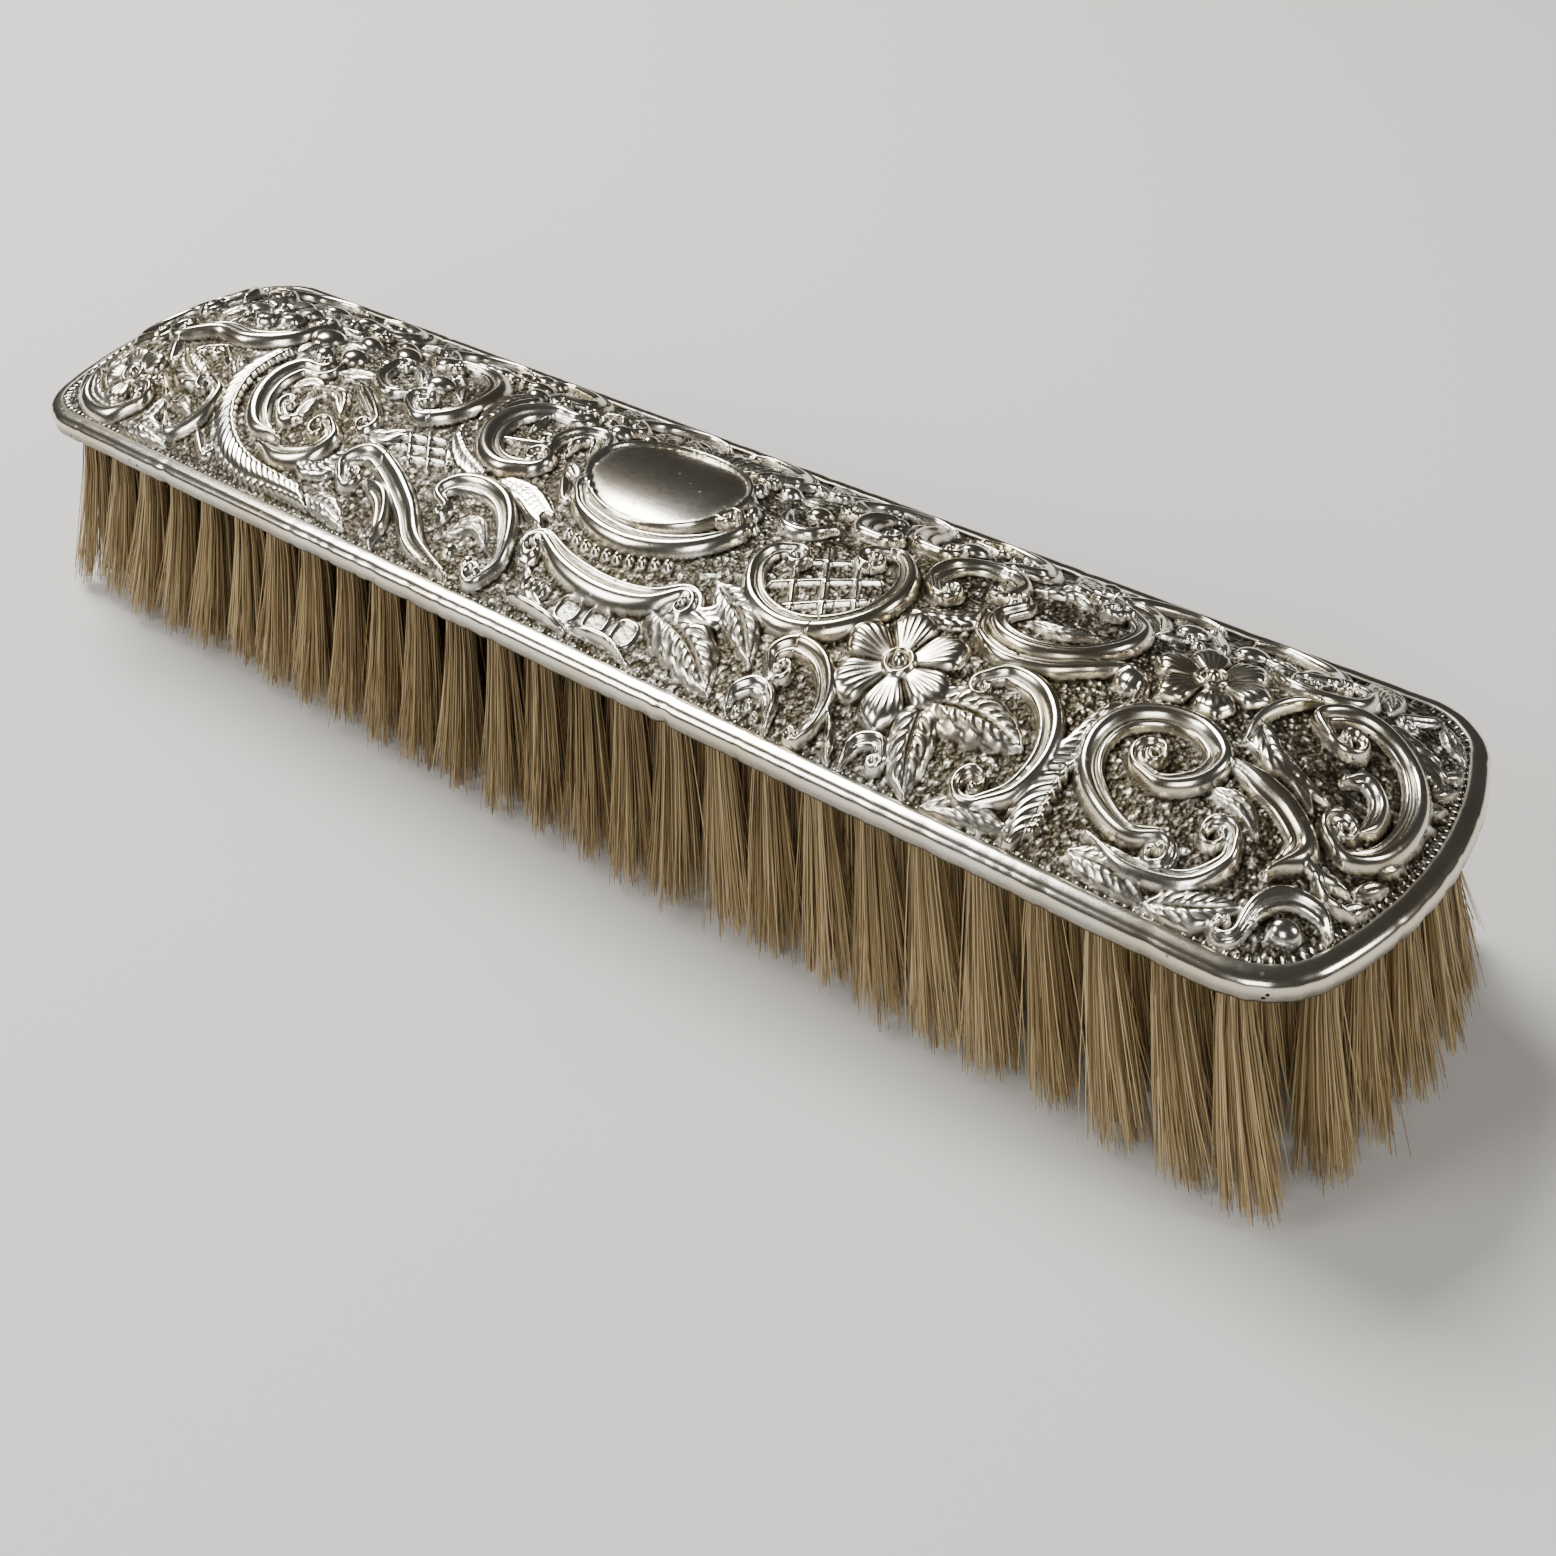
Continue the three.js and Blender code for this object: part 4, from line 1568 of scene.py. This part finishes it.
        flat = edge[:, None] - out[:, None] * inset[..., None]
        points = np.concatenate([flat, height[..., None]], axis=-1).reshape(-1, 3)
        n = len(profile)
        number = np.arange(count * n).reshape(count, n)
        wrapped = np.vstack([number, number[:1]])
        wrapped = np.hstack([wrapped, wrapped[:, :1]])
        piece = build_mesh("silver_rim", points, [quads(wrapped)[:, ::-1]])
        # Grime along the inner top edge, and painted shade that darkens the underside and the lower skirt
        # of the rim.
        edge_grime = np.exp(-((profile[:, 0] - 2.0) ** 2) / 0.07) * (profile[:, 1] > 1.4)
        painted_underside_shade = smooth_step(-profile[:, 1], -0.25, 0.0)
        painted_skirt_shade = 0.66 * (1 - smooth_step(profile[:, 1], 0.5, 1.5))
        grime_and_painted_shade = np.tile(np.clip(0.95 * edge_grime + 0.3 * painted_underside_shade + painted_skirt_shade, 0, 1), count)
        add_attribute(piece, "recess", grime_and_painted_shade)
        add_attribute(piece, "ground", np.zeros(len(points)))
        return piece

    def border(self) -> bpy.types.Object:
        """Builds the notched border inside the rim with nodes: one small bead at every notch."""
        edge, out = self.plan.loop(self.border_count)
        inner = edge - out * (self.plan.field_inset + self.border_inset)
        level = self.plan.rim_bottom + self.plan.rim_height - self.border_sink
        lift = np.full(len(inner), level)
        mesh = bpy.data.meshes.new("border_line")
        points = np.column_stack([inner, lift]) * MM
        links = [(i, (i + 1) % len(points)) for i in range(len(points))]
        mesh.from_pydata(points.tolist(), links, [])
        line = place_object("border_line", mesh)
        tree = self.border_nodes()
        modifier = line.modifiers.new("border", "NODES")
        modifier.node_group = tree
        sizes = {
            "Pitch": self.bead_pitch * MM,
            "Length": self.bead_length * MM,
            "Width": self.bead_width * MM,
            "Rise": self.bead_rise * MM,
        }
        set_inputs(modifier, tree, sizes)
        piece = plain_copy(line, "silver_border")
        count = len(piece.data.vertices)
        add_attribute(piece, "recess", np.full(count, 0.12))
        add_attribute(piece, "ground", np.zeros(count))
        return piece

    def border_nodes(self) -> bpy.types.NodeTree:
        """Builds the tree that sets one bead at every notch along a line."""
        tree = new_tree("border", {"Pitch": 0.001, "Length": 0.0006, "Width": 0.0003, "Rise": 0.0003})
        source = add_node(tree, "NodeGroupInput").outputs
        curve = add_node(tree, "GeometryNodeMeshToCurve", {"Mesh": source["Geometry"]}).outputs[0]
        points = add_node(
            tree,
            "GeometryNodeCurveToPoints",
            {"Curve": curve, "Length": source["Pitch"]},
            mode="LENGTH",
        )
        turn = add_node(
            tree,
            "FunctionNodeAlignRotationToVector",
            {"Vector": points.outputs["Tangent"]},
            axis="Y",
            pivot_axis="Z",
        ).outputs[0]
        vary = add_node(
            tree, "FunctionNodeRandomValue", {2: 0.75, 3: 1.15, "Seed": 3}, data_type="FLOAT"
        ).outputs[1]
        size = add_node(
            tree,
            "ShaderNodeCombineXYZ",
            {"X": source["Length"], "Y": source["Width"], "Z": source["Rise"]},
        ).outputs[0]
        place = add_node(tree, "GeometryNodeInputPosition").outputs[0]
        along = add_node(tree, "ShaderNodeSeparateXYZ", {0: place}).outputs[0]
        away = add_node(tree, "ShaderNodeMath", {0: along}, operation="ABSOLUTE").outputs[0]
        worn = map_range(tree, away, (0.058, 0.078), (0.5, 1.0))
        share = add_node(tree, "ShaderNodeMath", {0: vary, 1: worn}, operation="MULTIPLY").outputs[0]
        scale = add_node(
            tree, "ShaderNodeVectorMath", {0: size, "Scale": share}, operation="SCALE"
        ).outputs[0]
        bead = add_node(
            tree, "GeometryNodeMeshUVSphere", {"Segments": 8, "Rings": 5, "Radius": 1.0}
        ).outputs["Mesh"]
        placed = add_node(
            tree,
            "GeometryNodeInstanceOnPoints",
            {"Points": points.outputs["Points"], "Instance": bead, "Rotation": turn, "Scale": scale},
        ).outputs[0]
        real = add_node(tree, "GeometryNodeRealizeInstances", {"Geometry": placed}).outputs[0]
        smooth = add_node(tree, "GeometryNodeSetShadeSmooth", {"Geometry": real}).outputs[0]
        dressed = add_node(
            tree, "GeometryNodeSetMaterial", {"Geometry": smooth, "Material": self.material}
        ).outputs[0]
        add_node(tree, "NodeGroupOutput", {"Geometry": dressed})
        return tree

    def build(self) -> list[bpy.types.Object]:
        """Builds and dresses every piece of the silver.

        Returns:
            The pieces. Together they take the place of the CAD pressing, which is hidden.
        """
        self.prepare()
        near = self.end_grid(self.near_seam, self.near_cells)
        bed = self.straight_grid(self.seam, self.near_seam, self.near_cells)
        middle = self.straight_grid(-self.seam, self.seam, self.cells)
        far = self.end_grid(self.seam, self.cells) * [-1, 1]
        pieces = [
            self.field_piece("silver_field_near", near),
            self.field_piece("silver_field_flowers", bed),
            self.field_piece("silver_field_middle", middle),
            self.field_piece("silver_field_far", far),
            self.rim(),
        ]
        for piece in pieces:
            piece.data.materials.append(self.material)
        pieces.append(self.border())
        for piece in pieces:
            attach(piece, "root")
            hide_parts("silver_back")
        return pieces


def evenly_counted(line: np.ndarray, cells: int) -> np.ndarray:
    """Divides a polyline into a number of equal cells."""
    travelled = travel(line)
    at = np.linspace(0, travelled[-1], cells + 1)
    return np.column_stack([np.interp(at, travelled, line[:, i]) for i in range(2)])


def quads(number: np.ndarray) -> np.ndarray:
    """Four-sided faces of a grid of vertex numbers, anticlockwise where rows run along +X."""
    a, b = number[:-1, :-1], number[1:, :-1]
    c, d = number[1:, 1:], number[:-1, 1:]
    return np.stack([a, b, c, d], axis=-1).reshape(-1, 4)


def rim_of(number: np.ndarray) -> np.ndarray:
    """Vertex numbers once round a grid's edge, anticlockwise, without repeating the first."""
    return np.concatenate(
        [number[:-1, 0], number[-1, :-1], number[:0:-1, -1], number[0, :0:-1]]
    )


def new_tree(name: str, sizes: dict[str, float]) -> bpy.types.NodeTree:
    """Starts a geometry tree with named number inputs.

    Args:
        name: The tree's name.
        sizes: Input names with their default values. Whole numbers become integer inputs.

    Returns:
        The tree, with Geometry in and out.
    """
    tree = bpy.data.node_groups.new(name, "GeometryNodeTree")
    tree.interface.new_socket("Geometry", in_out="INPUT", socket_type="NodeSocketGeometry")
    tree.interface.new_socket("Geometry", in_out="OUTPUT", socket_type="NodeSocketGeometry")
    for key, value in sizes.items():
        kind = "NodeSocketInt" if isinstance(value, int) else "NodeSocketFloat"
        socket = tree.interface.new_socket(key, in_out="INPUT", socket_type=kind)
        socket.default_value = value
    return tree


def set_inputs(
    modifier: bpy.types.Modifier, tree: bpy.types.NodeTree, values: dict[str, float]
) -> None:
    """Sets a nodes modifier's inputs by the identifiers of their sockets."""
    for item in tree.interface.items_tree:
        if item.item_type == "SOCKET" and item.in_out == "INPUT" and item.name in values:
            modifier[item.identifier] = values[item.name]


# ---------------------------------------------------------------- the bristle


@dataclass
class BristleRows:
    """Rows of drawn tufts. Each tuft is a folded knot of hair that opens towards its tips."""

    plan: Plan
    material: bpy.types.Material
    rows: int = 7
    row_pitch: float = 5.4
    tuft_pitch: float = 5.78
    hole_inset: float = 4.3
    root_z: float = 25.4
    knot: float = 1.1
    tip_x: float = 2.7
    tip_y: float = 2.6
    splay_x: float = 1.06
    outer_splay_x: float = 1.085
    splay_y: float = 1.19
    hairs: int = 236
    hair_radius: float = 0.07
    uneven: float = 4.2
    clump: float = 0.9
    ragged: float = 0.5
    clearance: float = 0.1
    sideways: float = 0.35
    opening_power: float = 1.25
    taper: float = 0.55
    hair_points: int = 4

    def row_reach(self, y: float) -> float:
        """How far along the brush a row's last hole lies."""
        corner_x, corner_y = self.plan.corner_centre
        inner = self.plan.corner - self.hole_inset
        if abs(y) >= corner_y:
            return corner_x + math.sqrt(max(inner**2 - (abs(y) - corner_y) ** 2, 0))
        arc = self.plan.end_radius - self.hole_inset
        return self.plan.end_centre + math.sqrt(arc**2 - y**2)

    def nodes(self) -> bpy.types.NodeTree:
        """Builds the tree that grows one row of tufts, one curved hair at a time."""
        tree = new_tree(
            "bristle_row",
            {
                "Tufts": 29,
                "Hairs": 100,
                "Seed": 1,
                "Pitch": 0.006,
                "Row Y": 0.0,
                "Root Z": 0.025,
                "Knot": 0.001,
                "Tip X": 0.002,
                "Tip Y": 0.002,
                "Splay X": 1.0,
                "Splay Y": 1.0,
                "Hair Radius": 0.00007,
                "Uneven": 0.002,
            },
        )
        source = add_node(tree, "NodeGroupInput").outputs

        def maths(operation: str, *values: object) -> bpy.types.NodeSocket:
            """Adds one sum and returns its result."""
            inputs = dict(enumerate(values))
            return add_node(tree, "ShaderNodeMath", inputs, operation=operation).outputs[0]

        def vector(x: object, y: object, z: object) -> bpy.types.NodeSocket:
            """Puts three numbers together."""
            return add_node(tree, "ShaderNodeCombineXYZ", {0: x, 1: y, 2: z}).outputs[0]

        def add(a: object, b: object) -> bpy.types.NodeSocket:
            """Adds two vectors."""
            return add_node(tree, "ShaderNodeVectorMath", {0: a, 1: b}).outputs[0]

        def chance(low: float, high: float, offset: int) -> bpy.types.NodeSocket:
            """A random number for each hair."""
            seed = maths("ADD", source["Seed"], float(offset))
            return add_node(
                tree, "FunctionNodeRandomValue", {2: low, 3: high, "Seed": seed}, data_type="FLOAT"
            ).outputs[1]

        half_count = maths("MULTIPLY", maths("SUBTRACT", source["Tufts"], 1.0), 0.5)
        first = maths("MULTIPLY", maths("MULTIPLY", half_count, source["Pitch"]), -1.0)
        holes = add_node(
            tree,
            "GeometryNodeMeshLine",
            {
                "Count": source["Tufts"],
                "Start Location": vector(first, source["Row Y"], source["Root Z"]),
                "Offset": vector(source["Pitch"], 0.0, 0.0),
            },
        ).outputs[0]
        copies = add_node(
            tree,
            "GeometryNodeDuplicateElements",
            {"Geometry": holes, "Amount": source["Hairs"]},
            domain="POINT",
        ).outputs[0]

        hole = add_node(tree, "GeometryNodeInputPosition").outputs[0]
        parts = add_node(tree, "ShaderNodeSeparateXYZ", {0: hole}).outputs
        bearing = chance(0.0, 2 * math.pi, 11)
        spread = maths("SQRT", chance(0.0, 1.0, 23))
        dx = maths("MULTIPLY", spread, maths("COSINE", bearing))
        dy = maths("MULTIPLY", spread, maths("SINE", bearing))
        root = add(
            hole,
            vector(
                maths("MULTIPLY", dx, source["Knot"]), maths("MULTIPLY", dy, source["Knot"]), 0.0
            ),
        )

        # Hairs cling together in small locks, and a few stray outside the tuft.
        lock = maths("FLOOR", maths("MULTIPLY", bearing, 1.6))
        pull = add_node(
            tree,
            "ShaderNodeTexWhiteNoise",
            {"Vector": vector(parts[0], parts[1], 0.0), "W": lock},
            noise_dimensions="4D",
        ).outputs["Color"]
        pulls = add_node(tree, "ShaderNodeSeparateXYZ", {0: pull}).outputs
        own = add_node(
            tree,
            "ShaderNodeTexWhiteNoise",
            {"Vector": vector(parts[0], parts[1], 0.37)},
            noise_dimensions="3D",
        ).outputs["Color"]
        owns = add_node(tree, "ShaderNodeSeparateXYZ", {0: own}).outputs
        stray = maths("POWER", chance(0.0, 1.0, 37), 9.0)
        open_out = maths("MULTIPLY_ADD", stray, 0.75, chance(0.72, 1.06, 41))
        opens = (open_out, maths("MINIMUM", open_out, 1.2))

        def tip_place(away: object, size: str, splay: str, axis: int) -> bpy.types.NodeSocket:
            """Where a hair's tip lies along one axis."""
            base = maths("MULTIPLY", parts[axis], source[splay])
            flare = maths("MULTIPLY", maths("MULTIPLY", away, opens[axis]), source[size])
            shift = maths("MULTIPLY", maths("SUBTRACT", pulls[axis], 0.5), self.clump * MM)
            sway = maths("MULTIPLY", maths("SUBTRACT", owns[axis], 0.5), self.clump * MM)
            return maths("ADD", maths("ADD", base, flare), maths("ADD", shift, sway))

        short = maths("MULTIPLY", maths("POWER", chance(0.0, 1.0, 53), 3.0), source["Uneven"])
        lower = maths("MULTIPLY_ADD", maths("POWER", spread, 2.0), self.ragged * MM, short)
        ragged = maths("MULTIPLY_ADD", pulls[2], self.ragged * MM, lower)
        floor = maths("ADD", ragged, self.clearance * MM)
        tip = vector(
            tip_place(dx, "Tip X", "Splay X", 0), tip_place(dy, "Tip Y", "Splay Y", 1), floor
        )
        most = self.sideways * MM
        bend = vector(chance(-most, most, 61), chance(-most, most, 67), 0.0)

        stored = copies
        for name, kind, value in (
            ("root", "FLOAT_VECTOR", root),
            ("tip", "FLOAT_VECTOR", tip),
            ("bend", "FLOAT_VECTOR", bend),
            ("tone", "FLOAT", chance(0.0, 1.0, 71)),
        ):
            stored = add_node(
                tree,
                "GeometryNodeStoreNamedAttribute",
                {"Geometry": stored, "Name": name, "Value": value},
                data_type=kind,
                domain="POINT",
            ).outputs[0]

        strand = add_node(tree, "GeometryNodeCurvePrimitiveLine").outputs[0]
        strand = add_node(
            tree, "GeometryNodeResampleCurve", {"Curve": strand, "Count": self.hair_points}, mode="COUNT"
        ).outputs[0]
        planted = add_node(
            tree, "GeometryNodeInstanceOnPoints", {"Points": stored, "Instance": strand}
        ).outputs[0]
        strands = add_node(tree, "GeometryNodeRealizeInstances", {"Geometry": planted}).outputs[0]

        def named(name: str) -> bpy.types.NodeSocket:
            """Reads a hair's stored vector."""
            return add_node(
                tree, "GeometryNodeInputNamedAttribute", {"Name": name}, data_type="FLOAT_VECTOR"
            ).outputs[0]

        along = add_node(tree, "GeometryNodeSplineParameter").outputs["Factor"]
        opening = maths("POWER", along, self.opening_power)
        start = add_node(tree, "ShaderNodeSeparateXYZ", {0: named("root")}).outputs
        finish = add_node(tree, "ShaderNodeSeparateXYZ", {0: named("tip")}).outputs

        def between(axis: int, share: object) -> bpy.types.NodeSocket:
            """Place along one axis, part of the way from root to tip."""
            span = maths("SUBTRACT", finish[axis], start[axis])
            return maths("MULTIPLY_ADD", span, share, start[axis])

        straight = vector(between(0, opening), between(1, opening), between(2, along))
        bow = maths("SINE", maths("MULTIPLY", along, math.pi))
        bowed = add_node(
            tree, "ShaderNodeVectorMath", {0: named("bend"), "Scale": bow}, operation="SCALE"
        ).outputs[0]
        shaped = add_node(
            tree,
            "GeometryNodeSetPosition",
            {"Geometry": strands, "Position": add(straight, bowed)},
        ).outputs[0]
        shaped = add_node(
            tree,
            "GeometryNodeStoreNamedAttribute",
            {"Geometry": shaped, "Name": "along", "Value": along},
            data_type="FLOAT",
            domain="POINT",
        ).outputs[0]
        thin = maths("SUBTRACT", 1.0, maths("MULTIPLY", maths("POWER", along, 3.0), self.taper))
        tapered = add_node(
            tree,
            "GeometryNodeSetCurveRadius",
            {"Curve": shaped, "Radius": maths("MULTIPLY", thin, source["Hair Radius"])},
        ).outputs[0]
        section = add_node(
            tree, "GeometryNodeCurvePrimitiveCircle", {"Resolution": 3, "Radius": 1.0}, mode="RADIUS"
        ).outputs[0]
        hair = add_node(
            tree,
            "GeometryNodeCurveToMesh",
            {"Curve": tapered, "Profile Curve": section, "Fill Caps": True},
        )
        if "Scale" in hair.inputs:
            radius = add_node(tree, "GeometryNodeInputRadius").outputs[0]
            tree.links.new(radius, hair.inputs["Scale"])
        bare = hair.outputs[0]
        for name in ("root", "tip", "bend"):
            bare = add_node(
                tree, "GeometryNodeRemoveAttribute", {"Geometry": bare, "Name": name}
            ).outputs[0]
        smooth = add_node(tree, "GeometryNodeSetShadeSmooth", {"Geometry": bare}).outputs[0]
        real = add_node(tree, "GeometryNodeRealizeInstances", {"Geometry": smooth}).outputs[0]
        dressed = add_node(
            tree, "GeometryNodeSetMaterial", {"Geometry": real, "Material": self.material}
        ).outputs[0]
        add_node(tree, "NodeGroupOutput", {"Geometry": dressed})
        return tree

    def build(self) -> list[bpy.types.Object]:
        """Grows every row and dresses it.

        Returns:
            One piece for each row, front row first.
        """
        tree = self.nodes()
        pieces = []
        for i in range(self.rows):
            y = (i - (self.rows - 1) / 2) * self.row_pitch
            half_count = round(self.row_reach(y) / self.tuft_pitch)
            seat = place_object("row_seat", bpy.data.meshes.new("row_seat"))
            modifier = seat.modifiers.new("bristle", "NODES")
            modifier.node_group = tree
            values = {
                "Tufts": 2 * half_count + 1,
                "Hairs": self.hairs,
                "Seed": 100 * (i + 1),
                "Pitch": self.row_reach(y) / half_count * MM,
                "Row Y": y * MM,
                "Root Z": self.root_z * MM,
                "Knot": self.knot * MM,
                "Tip X": self.tip_x * MM,
                "Tip Y": self.tip_y * MM,
                "Splay X": self.outer_splay_x if i in (0, self.rows - 1) else self.splay_x,
                "Splay Y": self.splay_y,
                "Hair Radius": self.hair_radius * MM,
                "Uneven": self.uneven * MM,
            }
            set_inputs(modifier, tree, values)
            piece = plain_copy(seat, f"bristle_tufts_{i + 1}")
            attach(piece, "root")
            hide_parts(f"bristle_row_{i + 1}")
            pieces.append(piece)
        return pieces


# ---------------------------------------------------------------- the stock inside


@dataclass
class Stock:
    """The boards, wires and filler inside the shell, which keep their CAD shapes."""

    wood: bpy.types.Material
    pitch: bpy.types.Material
    wire: bpy.types.Material

    def dress(self, nodes: dict[str, bpy.types.Object]) -> int:
        """Gives every CAD node that stays its own material.

        Args:
            nodes: The CAD nodes by name.

        Returns:
            How many nodes were dressed.
        """
        finishes = {"bristle_board": self.wood, "backing_board": self.wood, "pitch_fill": self.pitch}
        count = 0
        for name, node in nodes.items():
            finish = self.wire if name.startswith("draw_wire") else finishes.get(name)
            if finish is None:
                continue
            if not node.data.materials:
                node.data.materials.append(finish)
            for place in node.material_slots:
                place.material = finish
            count += 1
        return count


# ---------------------------------------------------------------- studio


@dataclass(frozen=True)
class Camera:
    """The viewing camera, aimed at a place on the brush."""

    azimuth: float = 42.9
    elevation: float = 38.4
    roll: float = -4.9
    distance: float = 171.6
    target: tuple[float, float, float] = (20.9, -16.4, 25.0)
    focal: float = 1853.8
    centre: Point = (700.0, 698.9)
    sensor: float = 36.0

    def make(self) -> bpy.types.Object:
        """Makes the camera and makes it the scene's own."""
        data = bpy.data.cameras.new("camera")
        data.sensor_width = self.sensor
        data.lens = self.focal / IMAGE_SIDE * self.sensor
        data.shift_x = (IMAGE_SIDE / 2 - self.centre[0]) / IMAGE_SIDE
        data.shift_y = (self.centre[1] - IMAGE_SIDE / 2) / IMAGE_SIDE
        data.clip_start = 0.01
        camera = place_object("camera", data)
        a, e = math.radians(self.azimuth), math.radians(self.elevation)
        back = Vector((math.sin(a) * math.cos(e), -math.cos(a) * math.cos(e), math.sin(e)))
        right = (-back).cross(Vector((0, 0, 1))).normalized()
        up = right.cross(-back)
        turn = math.radians(self.roll)
        x_axis = right * math.cos(turn) + up * math.sin(turn)
        y_axis = up * math.cos(turn) - right * math.sin(turn)
        spot = (Vector(self.target) + back * self.distance) * MM
        rows = [[x_axis[i], y_axis[i], back[i], spot[i]] for i in range(3)]
        camera.matrix_world = Matrix([*rows, [0, 0, 0, 1]])
        bpy.context.scene.camera = camera
        return camera


@dataclass(frozen=True)
class SoftBox:
    """A square studio light that faces the brush."""

    name: str
    place: tuple[float, float, float]
    side: float
    power: float

    def make(self, aim: Vector) -> bpy.types.Object:
        """Makes the light, turned towards a point."""
        data = bpy.data.lights.new(self.name, "AREA")
        data.shape = "SQUARE"
        data.size = self.side
        data.energy = self.power
        light = place_object(self.name, data)
        light.location = self.place
        light.rotation_mode = "QUATERNION"
        light.rotation_quaternion = (aim - Vector(self.place)).to_track_quat("-Z", "Y")
        return light


@dataclass
class Studio:
    """Pale floor, soft lights and a dim room."""

    floor_colour: str = "CFCCC6"
    room: float = 0.05
    floor_side: float = 14.0
    lights: tuple[SoftBox, ...] = (
        SoftBox("key_light", (-0.42, 0.12, 0.66), 0.34, 11.0),
        SoftBox("rim_light", (-0.5, -0.62, 0.5), 0.34, 5.0),
        SoftBox("front_fill", (0.5, -0.9, 0.5), 0.4, 5.0),
        SoftBox("end_strip", (0.8, 0.25, 0.45), 0.24, 3.0),
    )

    def make(self) -> None:
        """Builds the floor, the lights and the room's own light."""
        half = self.floor_side / 2
        mesh = bpy.data.meshes.new("floor")
        corners = [(-half, -half, 0), (half, -half, 0), (half, half, 0), (-half, half, 0)]
        mesh.from_pydata(corners, [], [(0, 1, 2, 3)])
        floor = place_object("floor", mesh)
        paper = bpy.data.materials.new("matt_paper")
        paper.use_nodes = True
        shader = paper.node_tree.nodes["Principled BSDF"]
        shader.inputs["Base Color"].default_value = linear(self.floor_colour)
        shader.inputs["Roughness"].default_value = 0.8
        mesh.materials.append(paper)
        floor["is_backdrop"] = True
        low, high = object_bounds()
        for light in self.lights:
            light.make((low + high) / 2)
        world = bpy.data.worlds.new("room")
        world.use_nodes = True
        glow = world.node_tree.nodes["Background"]
        glow.inputs["Color"].default_value = (1, 1, 1, 1)
        glow.inputs["Strength"].default_value = self.room
        bpy.context.scene.world = world


def main() -> None:
    """Builds the brush round the CAD frame, then the studio."""
    logging.basicConfig(level=logging.INFO, format="%(name)s: %(message)s")
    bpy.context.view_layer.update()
    plan = Plan()
    silver = SilverBack(plan, SilverFinish().make())
    bristle = BristleRows(plan, BristleFinish().make())
    for piece in [*silver.build(), *bristle.build()]:
        piece.data.calc_loop_triangles()
        LOG.info("%s: %d triangles", piece.name, len(piece.data.loop_triangles))
    pitch = MottledFinish("chasers_pitch", "2A221C", "15110E", 0.6, 0.0, 3.0)
    wire = MottledFinish("drawn_brass_wire", "B8924E", "8C6A34", 0.34, 1.0, 1.0)
    stock = Stock(WoodFinish().make(), pitch.make(), wire.make())
    LOG.info("stock: %d CAD nodes dressed", stock.dress(frame["nodes"]))
    Studio().make()
    Camera().make()


if __name__ == "__main__":
    main()
